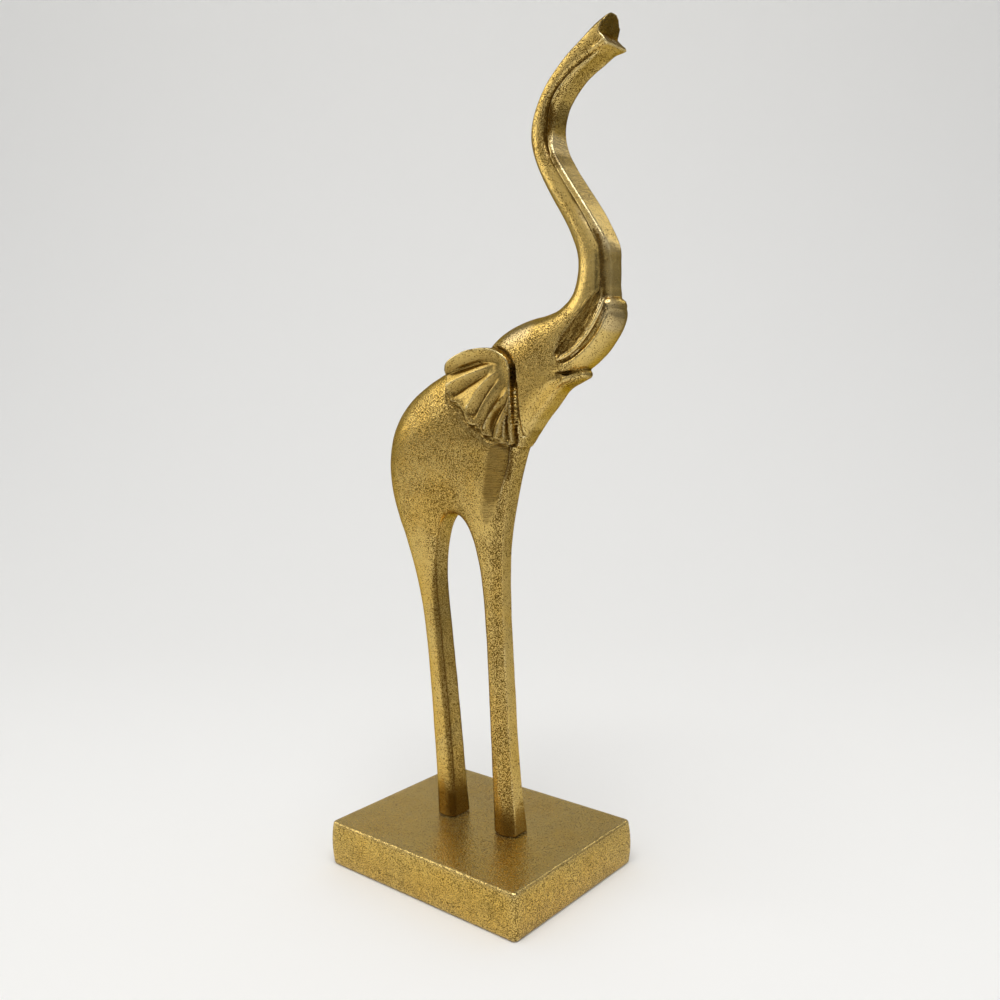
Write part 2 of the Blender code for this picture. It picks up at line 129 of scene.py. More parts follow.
def within(polygon: Array, x: Array, z: Array) -> Array:
    """Whether points of the side view are inside a closed polygon."""
    inside = np.zeros(x.shape, bool)
    for (ax, az), (bx, bz) in zip(polygon, np.roll(polygon, -1, axis=0)):
        if az == bz:
            continue
        crosses = ((az > z) != (bz > z)) & (x < (bx - ax) * (z - az) / (bz - az) + ax)
        inside ^= crosses
    return inside


def soft_max(a: Array, b: Array, radius: float) -> Array:
    """Larger of two fields, with a fillet of about that radius where they meet."""
    if radius <= 0:
        return np.maximum(a, b)
    share = np.maximum(radius - np.abs(a - b), 0.0) / radius
    return np.maximum(a, b) + share * share * radius * 0.25


def soft_min(a: Array, b: Array, radius: float) -> Array:
    """Smaller of two fields, with a rounding of about that radius where they meet."""
    return -soft_max(-a, -b, radius)


def ease(value: Array, low: float, high: float) -> Array:
    """Rise smoothly from 0 at low to 1 at high."""
    t = np.clip((value - low) / (high - low), 0.0, 1.0)
    return t * t * (3.0 - 2.0 * t)


# ---------------------------------------------------------------- the forms of the animal

class Join(Enum):
    """How a form meets what is there before it."""

    ADD = "add"
    CUT = "cut"


@dataclass
class Grid:
    """Even lattice of the space round the animal."""

    low: tuple
    high: tuple
    pitch: float

    def axis(self, k: int) -> Array:
        """Places along one axis."""
        count = int(math.ceil((self.high[k] - self.low[k]) / self.pitch)) + 1
        return self.low[k] + self.pitch * np.arange(count)

    def window(self, x0: float, x1: float, z0: float, z1: float) -> tuple:
        """Slices of the x and z axes that cover a rectangle of the side view."""
        out = []
        for k, low, high in ((0, x0, x1), (2, z0, z1)):
            start = int((low - self.low[k]) / self.pitch)
            stop = int((high - self.low[k]) / self.pitch) + 2
            out.append(slice(max(0, start), max(1, min(len(self.axis(k)), stop))))
        return tuple(out)


@dataclass
class Form:
    """One form: its way of joining, the fillet there, and the part of the side view it fills."""

    join: Join = Join.ADD
    fillet: float = 0.6
    margin: float = 4.0
    place: tuple = field(default=(), init=False)

    def frame_round(self, grid: Grid, points: Array) -> tuple:
        """Take the window round some points and return its x and z maps."""
        low, high = points.min(axis=0) - self.margin, points.max(axis=0) + self.margin
        self.place = grid.window(low[0], high[0], low[1], high[1])
        return np.meshgrid(grid.axis(0)[self.place[0]], grid.axis(2)[self.place[1]], indexing="ij")

    def prepare(self, grid: Grid) -> None:
        """Measure the maps of the side view that every plane shares."""
        raise NotImplementedError

    def plane(self, y: float) -> Array:
        """Depth inside the form over its window, in the plane at that y."""
        raise NotImplementedError

    def join_to(self, field_map: Array, y: float) -> None:
        """Join the form's plane to the whole animal's."""
        here = field_map[self.place]
        mine = self.plane(y)
        if self.join is Join.ADD:
            field_map[self.place] = soft_max(here, mine, self.fillet)
        else:
            field_map[self.place] = soft_min(here, -mine, self.fillet)


@dataclass
class Body(Form):
    """Legs and body, one thick plate with a rounded outline and a tall arch between the legs."""

    foot: float = 24.8
    back: tuple = (
        (-26, 24.8), (-27, 50), (-28.6, 75), (-30.2, 100), (-32.4, 125), (-35.3, 145),
        (-39.9, 163), (-45.4, 179), (-50.6, 192), (-54.6, 206), (-56, 220), (-54, 233),
        (-48, 244.8), (-38.6, 254.4), (-26, 262.4), (-10, 269.5), (6, 275), (20, 267))
    chest: tuple = (
        (41, 256), (43.5, 249), (43, 243), (41.5, 238.5), (38.6, 234), (35.6, 228), (31.8, 218),
        (28.7, 208), (25.9, 195), (23.6, 180), (22.7, 163), (22.6, 145), (23.2, 125), (24.2, 100),
        (25.2, 75), (26.9, 50), (29.4, 24.8))
    arch: tuple = (
        (15, 24.8), (14, 50), (13.2, 75), (12.4, 100), (11.6, 125), (10.6, 145), (9, 162),
        (6.4, 175), (2.8, 184.6), (-1, 190.2), (-4.8, 193), (-8.8, 193.9), (-12.8, 193.1),
        (-16.4, 190.2), (-19.6, 184.6), (-22.2, 175), (-23.6, 162), (-22.8, 145), (-20.8, 125),
        (-18.4, 100), (-16.2, 75), (-14.4, 50), (-12.6, 24.8))
    # height, half thickness, depth of the rounding, flat half width
    thickness: tuple = (
        (24.8, 8.2, 5.5, 4.6), (45, 7.7, 5.4, 3.8), (100, 7.4, 5.6, 3.4), (150, 7.6, 5.8, 3.4),
        (180, 9, 7.5, 3.6), (205, 11.6, 14.5, 3.6), (230, 12.8, 23, 3), (255, 12.2, 25, 3),
        (280, 10.5, 19, 3))
    # the fore leg keeps a ridge between its side and its flat front, from x on and up to z
    ridge_squareness: float = 1.2
    ridge_from: tuple = (15.0, 20.0)
    ridge_to: tuple = (170.0, 215.0)
    sole_rounding: float = 0.8
    body_squareness: float = 2.0
    steps: int = 6

    def prepare(self, grid: Grid) -> None:
        """Measure the inside distance to the outline, and the thickness by height."""
        back, chest, arch = (smooth_line(k, self.steps) for k in (self.back, self.chest, self.arch))
        polygon = np.vstack([back, chest, arch])
        x, z = self.frame_round(grid, polygon)
        gap = np.minimum(reach(np.vstack([back, chest]), x, z).gap, reach(arch, x, z).gap)
        self.depth = np.where(within(polygon, x, z), gap, -gap)
        rows = smooth_line(self.thickness, self.steps)
        self.thick, self.round, self.flat = (
            np.interp(z, rows[:, 0], rows[:, k]) for k in (1, 2, 3))
        ridge = ease(x, *self.ridge_from) * (1.0 - ease(z, *self.ridge_to))
        self.power = self.body_squareness + (
            self.ridge_squareness - self.body_squareness) * ridge
        self.sole = z - self.foot

    def plane(self, y: float) -> Array:
        """Depth inside the body, limited by the sole."""
        turn = self.thick - self.flat
        u = np.maximum(self.round - self.depth, 0.0) / self.round
        v = np.maximum(abs(y) - self.flat, 0.0) / turn
        inside = 1.0 - (u ** self.power + v ** self.power) ** (1.0 / self.power)
        return soft_min(inside * np.minimum(self.round, turn), self.sole, self.sole_rounding)


@dataclass
class Band(Form):
    """Form between a back line and a front line of the side view."""

    # back x, z, front x, z, then half widths
    stations: tuple = ()
    least_span: float = 1.0
    steps: int = 5

    def prepare(self, grid: Grid) -> None:
        """Measure the way from the back line to the front line, and the widths along it."""
        rows = smooth_line(self.stations, self.steps)
        x, z = self.frame_round(grid, np.vstack([rows[:, :2], rows[:, 2:4]]))
        back, front = reach(rows[:, :2], x, z), reach(rows[:, 2:4], x, z)
        middle = reach(0.5 * (rows[:, :2] + rows[:, 2:4]), x, z)
        self.behind, self.before = -back.side * back.gap, front.side * front.gap
        self.span = np.maximum(self.behind + self.before, self.least_span)
        self.widths = [read_along(column, middle.along) for column in rows.T[4:]]
        self.beyond = middle.beyond


@dataclass
class Skull(Band):
    """Head from the neck into the root of the trunk, round at the back and squarer at the jaw."""

    stations: tuple = (
        (4, 262, 34.5, 231.5, 8.5), (14, 276.5, 43.4, 239.6, 10.4), (20.8, 283.6, 50, 245.6, 10.8),
        (29, 288.4, 55.8, 251.6, 10.8), (37, 291.2, 61.2, 258, 10.6), (45, 293.1, 65, 264.2, 10.2),
        (52.6, 294.2, 69.4, 270.8, 9.8), (60, 296.2, 75, 277.6, 9.2), (66, 300, 80.8, 285, 8.5),
        (70.6, 304.4, 84.6, 293, 7.3), (74, 307.6, 86, 299, 5.6))
    least_span: float = 0.5
    back_squareness: float = 2.3
    jaw_squareness: float = 4.2

    def plane(self, y: float) -> Array:
        """Depth inside the skull."""
        width = self.widths[0]
        across = 2.0 * self.behind / self.span - 1.0
        power = np.where(across < 0, self.back_squareness, self.jaw_squareness)
        shape = (np.abs(across) ** power + (abs(y) / width) ** power) ** (1.0 / power)
        return np.minimum((1.0 - shape) * np.minimum(0.5 * self.span, width), -self.beyond)


@dataclass
class Trunk(Band):
    """Raised trunk: a round roll behind, a flat-faced flange in front, and a groove between."""

    # half widths of the roll, groove, flange and face
    stations: tuple = (
        (62, 294, 80, 286, 4, 3.2, 3.6, 3), (67.6, 301, 90.4, 297, 7.2, 4.2, 6.4, 5.4),
        (71, 309, 91.2, 306, 7.8, 4, 8, 5.2), (72, 316.5, 91.3, 315, 7.8, 4, 8, 5.4),
        (70.8, 324, 90, 324.5, 7.8, 4.2, 8.1, 6.4), (66.9, 333, 81.6, 338.8, 7.8, 5.6, 8.2, 7.6),
        (61, 343, 73.7, 350.4, 7.8, 6.8, 8, 7.6), (54, 354.8, 66.2, 361.4, 7.8, 6.8, 8, 7.5),
        (48.6, 366.2, 61.6, 370, 7.8, 6.2, 7.8, 7), (46, 378, 60.7, 378, 7.8, 6, 7.2, 5.4),
        (48.6, 389, 61.8, 385.8, 7.8, 6.9, 7, 5.4), (55.4, 400, 65.6, 392.9, 7.8, 7.1, 7.2, 5.4),
        (64.8, 408.6, 72.6, 400, 7.8, 7.3, 7.4, 5.6), (75, 415.6, 81.4, 405, 7.7, 7.6, 7.7, 6.4),
        (84.4, 421.6, 92, 409, 7.3, 7.8, 9, 8.2), (93.5, 425.2, 101, 412.5, 6.2, 7.4, 10.2, 9.4))
    # shares of the way from back to front
    roll_share: float = 0.45
    web_start: float = 0.25
    groove_share: float = 0.79
    web_share: float = 0.93
    face_share: float = 0.965
    past_face: float = 1.3
    roll_squareness: float = 2.3
    groove_fillet: float = 1.4
    lip_fillet: float = 0.5
    edge_rounding: float = 1.0

    def plane(self, y: float) -> Array:
        """Depth inside the trunk."""
        wide, groove, outer, face = self.widths
        half, power = self.roll_share * self.span, self.roll_squareness
        shape = (np.abs((self.behind - half) / half) ** power
                 + (abs(y) / wide) ** power) ** (1.0 / power)
        roll = (1.0 - shape) * np.minimum(half, wide)
        run = self.face_share - self.groove_share
        share = np.clip((self.behind / self.span - self.groove_share) / run, 0.0, self.past_face)
        across = outer + (face - outer) * share
        web = np.minimum(np.minimum(groove, across) - abs(y), np.minimum(
            self.web_share * self.span - self.behind, self.behind - self.web_start * self.span))
        side = (across - abs(y)) / np.hypot(1.0, (outer - face) / (run * self.span))
        flange = soft_min(side, self.before, self.edge_rounding)
        flange = soft_min(flange, self.behind - self.groove_share * self.span, self.lip_fillet)
        whole = soft_max(soft_max(roll, web, self.groove_fillet), flange, self.lip_fillet)
        return np.minimum(whole, -self.beyond)


@dataclass
class Run(Form):
    """Form along one line of the side view, alike on both sides of the middle."""

    # x, z, half size beside the line, then a size or a distance across the animal
    stations: tuple = ()
    steps: int = 6

    def prepare(self, grid: Grid) -> None:
        """Measure the gap to the line, and the two sizes along it."""
        rows = smooth_line(self.stations, self.steps)
        x, z = self.frame_round(grid, np.vstack([rows[:, :2] - rows[:, 2:3],
                                                 rows[:, :2] + rows[:, 2:3]]))
        line = reach(rows[:, :2], x, z)
        self.gap = line.gap
        self.half, self.across = (read_along(rows[:, k], line.along) for k in (2, 3))


@dataclass
class Spindle(Run):
    """Squared tube with its half width last, at a distance to each side of the middle."""

    squareness: float = 2.0
    off_side: float = 0.0

    def plane(self, y: float) -> Array:
        """Depth inside the tube."""
        power = self.squareness
        shape = ((self.gap / self.half) ** power
                 + (abs(abs(y) - self.off_side) / self.across) ** power) ** (1.0 / power)
        return (1.0 - shape) * np.minimum(self.half, self.across)


@dataclass
class Ridge(Run):
    """Round bead with its distance from the middle last."""

    def plane(self, y: float) -> Array:
        """Depth inside the bead."""
        return self.half - np.hypot(self.gap, abs(y) - self.across)


@dataclass
class Channel(Run):
    """Channel sunk into both sides, with its round bottom's distance from the middle last."""

    bottom_rounding: float = 1.2

    def plane(self, y: float) -> Array:
        """Depth inside the channel, counted towards its open side."""
        return soft_min(self.half - self.gap, abs(y) - self.across, self.bottom_rounding)


@dataclass
class Wedge(Form):
    """Straight cut right through, by the outline of the side view."""

    outline: tuple = ()

    def prepare(self, grid: Grid) -> None:
        """Measure the inside distance to the outline."""
        polygon = np.asarray(self.outline, float)
        x, z = self.frame_round(grid, polygon)
        gap = reach(np.vstack([polygon, polygon[:1]]), x, z).gap
        self.depth = np.where(within(polygon, x, z), gap, -gap)

    def plane(self, y: float) -> Array:
        """Depth inside the cut, the same at every y."""
        return self.depth


@dataclass(frozen=True)
class Stroke:
    """Ridge or furrow along a line of the side view, on both sides of the middle."""

    # x, z, height, half width
    line: tuple
    # shape of its sides, and the spacing of the beads it is broken into, if any
    sharp: float = 2.0
    beads: float = 0.0
    steps: int = 5

    def on(self, x: Array, z: Array) -> Array:
        """Height of the stroke over the side view."""
        rows = smooth_line(self.line, self.steps)
        near = reach(rows[:, :2], x, z)
        height, half = (read_along(rows[:, k], near.along) for k in (2, 3))
        if self.beads:
            run = np.concatenate([[0.0], np.cumsum(np.hypot(*np.diff(rows[:, :2], axis=0).T))])
            place = read_along(run, near.along) / self.beads
            drift, fullness = 1.1 * np.sin(1.9 * place), 0.75 + 0.35 * np.sin(2.7 * place)
            height = height * (0.5 - 0.5 * np.cos(2.0 * math.pi * place + drift)) * fullness
        return height * np.exp(-(near.gap / half) ** self.sharp)


@dataclass
class Raised(Form):
    """Skin raised or sunk where it lies far enough from the middle."""

    inside: float = 4.0
    fade: float = 2.0

    def join_to(self, field_map: Array, y: float) -> None:
        """Raise or sink what is there."""
        share = float(np.clip((abs(y) - self.inside) / self.fade, 0.0, 1.0))
        field_map[self.place] += self.height * share


@dataclass
class Relief(Raised):
    """Relief drawn with strokes."""

    strokes: tuple = ()

    def prepare(self, grid: Grid) -> None:
        """Add up the strokes over the side view."""
        points = np.vstack([np.array(stroke.line)[:, :2] for stroke in self.strokes])
        x, z = self.frame_round(grid, points)
        self.height = sum(stroke.on(x, z) for stroke in self.strokes)


@dataclass
class Facet(Raised):
    """Sloping facet sunk between two lines: level with the skin at one and deepest at the other."""

    # x, z, and for the deep line its depth
    level: tuple = ()
    deep: tuple = ()
    step: float = 0.9
    inside: float = 5.0
    fade: float = 3.0
    steps: int = 5

    def prepare(self, grid: Grid) -> None:
        """Measure the depth over the side view."""
        level, deep = smooth_line(self.level, self.steps), smooth_line(self.deep, self.steps)
        polygon = np.vstack([level, deep[::-1, :2]])
        x, z = self.frame_round(grid, polygon)
        near, far = reach(level, x, z), reach(deep[:, :2], x, z)
        depth = read_along(deep[:, 2], far.along)
        ramp = near.gap / np.maximum(near.gap + far.gap, 0.1)
        step = np.exp(-(far.gap / self.step) ** 2)
        self.height = -depth * np.where(within(polygon, x, z), ramp, step)


@dataclass
class Ear(Form):
    """Fan hung from a root at its upper front corner, its sheet draped over crests and folds."""

    root: tuple = (33.0, 271.0)
    inside: float = 6.0
    edge_rounding: float = 0.8
    # furrow in the skin round the ear
    furrow: float = 1.1
    furrow_half: float = 0.8
    # degrees down from straight back, reach
    edge: tuple = (
        (2, 38.5), (8, 37.6), (14.5, 38), (20.6, 39.3), (25.8, 38.8), (29, 36.6), (31.6, 35.2),
        (37.4, 34.5), (42, 34.4), (46.3, 35.6), (51, 36.4), (55.1, 35.8), (59.5, 34.4),
        (63.4, 34.2), (66.5, 35.8), (69.2, 36.6), (72.5, 36.6), (75.8, 36.2), (79, 36.9),
        (82.6, 36.9), (86, 37.9), (89.5, 39), (92.6, 39.4), (95, 37.4), (97.6, 32.5), (102, 27.2),
        (107.5, 19.9), (115, 13.2), (135, 7.1), (172, 4.4), (227, 4.4), (267, 5.6), (296, 8.5),
        (317.4, 13.4), (330, 18), (338.2, 23), (344.9, 27.8), (351.9, 33.6), (357, 37.3))
    # crests of the rolled rim and the pleats, round to the front edge: x, z, distance from middle
    crests: tuple = (
        ((-4.5, 266.5, 13.6), (-3.8, 270.8, 14.4), (-1.4, 274.6, 15.1), (4, 277.8, 15.4),
         (12, 279.6, 15.5), (20, 280, 15.4), (27, 279.1, 15.2), (33, 276.5, 14.9), (37, 273, 14.2),
         (38.2, 268.5, 13)),
        ((27, 270.8, 13), (19.5, 269.2, 13.9), (11.7, 267.3, 14.6), (4.1, 265, 15.1),
         (-4, 262, 15.3)),
        ((2, 254.8, 13.6), (5, 251.4, 13.7)),
        ((30.5, 268.1, 13.3), (23.9, 264.6, 14.2), (18, 259.8, 14.8), (13.6, 254.3, 15.1),
         (10.2, 250.2, 15.2), (10.2, 246.4, 15), (14, 243.6, 14.7)),
        ((34.4, 265.2, 13), (29.1, 262, 13.2), (23.2, 256.6, 13.4), (18.9, 250.5, 13.8),
         (16.3, 245.5, 14.2), (14.5, 243, 14.6)),
        ((35.2, 259, 13.3), (34.5, 256.4, 14), (30.4, 252.2, 15.1), (26.2, 247.3, 15.4),
         (22.8, 243, 15.4), (20.6, 238.4, 15.2)),
        ((35.4, 251.5, 13.1), (32.6, 246, 13.5), (30.1, 241.1, 13.8), (28.2, 236, 13.6)),
        ((36, 255.1, 13.4), (35.1, 249, 14.2), (33.8, 242.9, 14.4), (32.7, 237.5, 13.8),
         (32, 233.4, 11.6)),
        ((36.8, 260, 13.2), (36.6, 251.4, 13.6), (36, 244.1, 13.6), (35.4, 237.3, 12),
         (35.4, 232.6, 10)))
    dips: tuple = (
        ((-2.9, 268.2, 12.8), (4.3, 269.9, 11.6), (9.1, 270.9, 11.2), (15, 272.2, 11.3),
         (22, 273, 12), (29, 272.2, 13.1)),
        ((22, 267, 12.6), (10.5, 262.4, 11.8), (2, 258.4, 11.8), (-2.6, 256.6, 12.4)),
        ((29.5, 264.9, 12.9), (24.6, 260.6, 12.2), (19.4, 254.8, 11.9), (15.8, 249.6, 12),
         (13.8, 247, 12.8)),
        ((33.6, 260.5, 12.8), (28, 254.6, 12.4), (22.8, 248.5, 12.2), (19.4, 242, 12.4)),
        ((35.6, 254.8, 12.5), (31.9, 250.3, 11.7), (27.8, 245.4, 11), (25, 240.6, 10.8),
         (24.2, 236.6, 11.2)),
        ((34.8, 248.5, 12.5), (32.4, 242, 12), (30.7, 236.4, 11.6)),
        ((36.1, 251.5, 12.6), (35.3, 245.3, 11.4), (34.5, 239.2, 10.6), (34, 234.8, 9.8)))
    # how strongly crests and dips draw the sheet: crests keep sharp, dips lie broad
    crest_pull: float = 1.15
    dip_pull: float = 2.0
    pull_reach: float = 1.6
    # share of the sheet's height that counts as depth, as the sheet slopes
    sheet_slope: float = 0.8
    steps: int = 6
    fold_steps: int = 4

    def prepare(self, grid: Grid) -> None:
        """Measure the sheet's height and its inside distance over the side view."""
        rows = smooth_line(self.edge + ((self.edge[0][0] + 360.0, self.edge[0][1]),), self.steps)
        turn = np.radians(rows[:, 0])
        outline = np.stack([self.root[0] - rows[:, 1] * np.cos(turn),
                            self.root[1] - rows[:, 1] * np.sin(turn)], axis=1)
        x, z = self.frame_round(grid, outline)
        gap = reach(outline, x, z).gap
        self.depth = np.where(within(outline, x, z), gap, -gap)
        total, weights = np.zeros(x.shape), np.zeros(x.shape)
        for folds, pull in ((self.crests, self.crest_pull), (self.dips, self.dip_pull)):
            for fold in folds:
                line = smooth_line(fold, self.fold_steps)
                near = reach(line[:, :2], x, z)
                weight = (self.pull_reach / np.maximum(near.gap, 0.05)) ** pull
                total += weight * read_along(line[:, 2], near.along)
                weights += weight
        self.height = total / weights

    def join_to(self, field_map: Array, y: float) -> None:
        """Sink a furrow round the ear and lay the ear on."""
        if abs(y) > self.inside:
            sunk = np.exp(-(np.minimum(self.depth, 0.0) / self.furrow_half) ** 2)
            field_map[self.place] -= self.furrow * sunk
        super().join_to(field_map, y)

    def plane(self, y: float) -> Array:
        """Depth inside the ear."""
        sheet = self.sheet_slope * (self.height - abs(y))
        return np.minimum(soft_min(sheet, self.depth, self.edge_rounding), abs(y) - self.inside)


# ---------------------------------------------------------------- growing a skin

@dataclass
class Skin:
    """Closed quad mesh grown where a field on a lattice passes through zero."""

    grid: Grid
    rounds: int = 3
    # farthest that a vertex moves in one round and in all, in cells
    stride: float = 0.6
    leash: float = 0.8

    def grow(self, values: Array) -> tuple:
        """Place one vertex in each mixed cell and one quad across each crossed lattice edge.

        Args:
            values: the field, positive inside.
        Returns:
            Vertex places in millimetres, and quads as vertex numbers.
        """
        inside = values > 0.0
        cells = tuple(n - 1 for n in values.shape)

        def part(array: Array, shift: tuple) -> Array:
            """The lattice shifted to one corner of each cell."""
            return array[tuple(slice(s, s + n) for s, n in zip(shift, cells))]

        some, every = np.zeros(cells, bool), np.ones(cells, bool)
        for shift in CORNERS:
            here = part(inside, shift)
            some |= here
            every &= here
        mixed = np.argwhere(some & ~every)
        number = np.full(cells, -1, np.int64)
        number[tuple(mixed.T)] = np.arange(len(mixed))
        total, count = np.zeros((len(mixed), 3)), np.zeros(len(mixed))
        for a in CORNERS:
            for axis in range(3):
                if a[axis]:
                    continue
                b = tuple(v + (k == axis) for k, v in enumerate(a))
                fa = values[tuple((mixed + a).T)]
                fb = values[tuple((mixed + b).T)]
                cross = (fa > 0) != (fb > 0)
                t = np.where(cross, fa / np.where(cross, fa - fb, 1.0), 0.0)
                place = np.array(a, float) + t[:, None] * (np.arange(3) == axis)
                total += np.where(cross[:, None], place, 0.0)
                count += cross
        points = mixed + total / count[:, None]
        quads = []
        for axis in range(3):
            low, high = [slice(1, -1)] * 3, [slice(1, -1)] * 3
            low[axis], high[axis] = slice(0, -1), slice(1, None)
            fa, fb = inside[tuple(low)], inside[tuple(high)]
            one, two = (axis + 1) % 3, (axis + 2) % 3
            for mask, flip in ((fa & ~fb, False), (~fa & fb, True)):
                at = np.argwhere(mask) + 1
                at[:, axis] -= 1
                ring = []
                for da, db in ((1, 1), (0, 1), (0, 0), (1, 0)):
                    cell = at.copy()
                    cell[:, one] -= da
                    cell[:, two] -= db
                    ring.append(number[tuple(cell.T)])
                quad = np.stack(ring, axis=1)
                quads.append(quad[:, ::-1] if flip else quad)
        points = self.settle(values, points) * self.grid.pitch
        return np.array(self.grid.low) + points, np.vstack(quads)

    def settle(self, values: Array, points: Array) -> Array:
        """Move lattice points along the field's slope on to its zero level."""
        home = points.copy()
        for _ in range(self.rounds):
            base = np.clip(np.floor(points).astype(int), 0, np.array(values.shape) - 2)
            t = points - base
            value, slope = np.zeros(len(points)), np.zeros((len(points), 3))
            for corner in CORNERS:
                f = values[tuple((base + corner).T)]
                wx, wy, wz = (t[:, n] if s else 1 - t[:, n] for n, s in enumerate(corner))
                value += f * wx * wy * wz
                for n, (one, two) in enumerate(((wy, wz), (wx, wz), (wx, wy))):
                    slope[:, n] += f * (2 * corner[n] - 1) * one * two
            steep = np.maximum((slope ** 2).sum(axis=1), 1e-4)
            move = np.clip(value / steep, -self.stride, self.stride)
            points = points - move[:, None] * slope
            points = np.clip(points, home - self.leash, home + self.leash)
        return points


@dataclass(frozen=True)
class Waviness:
    """Slow waves of a hand-finished casting, the same every run."""

    seed: int
    longest: float
    shortest: float
    count: int = 26

    def at(self, points: Array) -> Array:
        """Waves from -1 to 1 or so at points in millimetres."""
        rng = np.random.default_rng(self.seed)
        total = np.zeros(len(points))
        for _ in range(self.count):
            direction = rng.normal(size=3)
            length = rng.uniform(self.shortest, self.longest)
            direction *= 2.0 * math.pi / (length * np.linalg.norm(direction))
            total += np.sin(points @ direction + rng.uniform(0.0, 2.0 * math.pi))
        return total / math.sqrt(self.count)


def mesh_object(name: str, points: Array, faces: list, unit: float = MM) -> bpy.types.Object:
    """Make a smooth-shaded object from faces and points, in millimetres or another unit."""
    mesh = bpy.data.meshes.new(name)
    mesh.from_pydata((np.array(points) * unit).tolist(), [], faces)
    mesh.validate()
    mesh.shade_smooth()
    made = bpy.data.objects.new(name, mesh)
    bpy.context.scene.collection.objects.link(made)
    return made


def vertex_arrays(mesh: bpy.types.Mesh) -> tuple:
    """Places in millimetres, normals and edges of a mesh, as arrays."""
    co, normal = np.zeros(len(mesh.vertices) * 3), np.zeros(len(mesh.vertices) * 3)
    edges = np.zeros(len(mesh.edges) * 2, np.int64)
    mesh.vertices.foreach_get("co", co)
    mesh.vertices.foreach_get("normal", normal)
    mesh.edges.foreach_get("vertices", edges)
    return co.reshape(-1, 3) / MM, normal.reshape(-1, 3), edges.reshape(-1, 2)


def spread_values(values: Array, edges: Array, rounds: int) -> Array:
    """Average values over each vertex and its neighbours, so many times."""
    count = np.bincount(edges.ravel(), minlength=len(values)) + 1.0
    for _ in range(rounds):
        total = values + np.bincount(edges[:, 0], values[edges[:, 1]], len(values))
        total += np.bincount(edges[:, 1], values[edges[:, 0]], len(values))
        values = total / count
    return values


def bend_of(points: Array, normals: Array, edges: Array) -> Array:
    """How sharply a mesh bends at each vertex, in 1/mm: above 0 on edges, below 0 in creases."""
    run = points[edges[:, 1]] - points[edges[:, 0]]
    length = np.maximum((run ** 2).sum(axis=1), 1e-6)
    first = -(run * normals[edges[:, 0]]).sum(axis=1) * 2.0 / length
    second = (run * normals[edges[:, 1]]).sum(axis=1) * 2.0 / length
    count = np.maximum(np.bincount(edges.ravel(), minlength=len(points)), 1)
    total = np.bincount(edges[:, 0], first, len(points))
    total += np.bincount(edges[:, 1], second, len(points))
    return spread_values(total / count, edges, 2)


def stand_of(points: Array, normals: Array, edges: Array, rounds: int) -> Array:
    """How far each vertex stands out from the average of its surroundings, in mm."""
    away = np.stack([points[:, k] - spread_values(points[:, k], edges, rounds)
                     for k in range(3)], axis=1)
    return spread_values((away * normals).sum(axis=1), edges, 1)


def push(mesh: bpy.types.Mesh, points: Array, normals: Array, height: Array) -> None:
    """Move the vertices along their normals, all in millimetres; the points given move too."""
    points += normals * height[:, None]
    mesh.vertices.foreach_set("co", (points * MM).ravel())
    mesh.update()


def share_past(value: Array, start: float, span: float, most: float = 1.0) -> Array:
    """How far a value is past a start, as a share of a span, up to a most."""
    return np.clip((value - start) / span, 0.0, most)


def set_values(mesh: bpy.types.Mesh, name: str, values: Array) -> None:
    """Store one number per vertex for the finish to read."""
    layer = mesh.attributes.new(name, 'FLOAT', 'POINT')
    layer.data.foreach_set("value", values.astype(np.float32))


# ---------------------------------------------------------------- the two pieces

@dataclass
class Patch:
    """Soft patch of the skin along a line of the side view, for one kind of finish or of painted
    shade or sheen.
    """

    # x, z, radius
    line: tuple
    # the patch counts only where the skin faces this way by at least the least share
    facing: tuple = (0.0, 0.0, 0.0)
    least: float = -2.0
    soft: float = 0.35
    strength: float = 1.0
    turn: float = 0.15
    steps: int = 4

    def at(self, points: Array, normals: Array) -> Array:
        """How much of the patch there is at each vertex, from 0 to 1."""
        rows = smooth_line(self.line, self.steps)
        line = reach(rows[:, :2], points[:, 0], points[:, 2])
        radius = read_along(rows[:, 2], line.along)
        inside = 1.0 - ease(line.gap / radius, 1.0 - self.soft, 1.0 + self.soft)
        near_side = np.column_stack([normals[:, 0], -np.abs(normals[:, 1]), normals[:, 2]])
        facing = near_side @ np.array(self.facing)
        return self.strength * inside * ease(facing, self.least - self.turn,
                                             self.least + self.turn)


def side_line(stations: tuple, radius: float) -> tuple:
    """The side line of some stations, with one radius."""
    return tuple((row[0], row[1], radius) for row in stations)


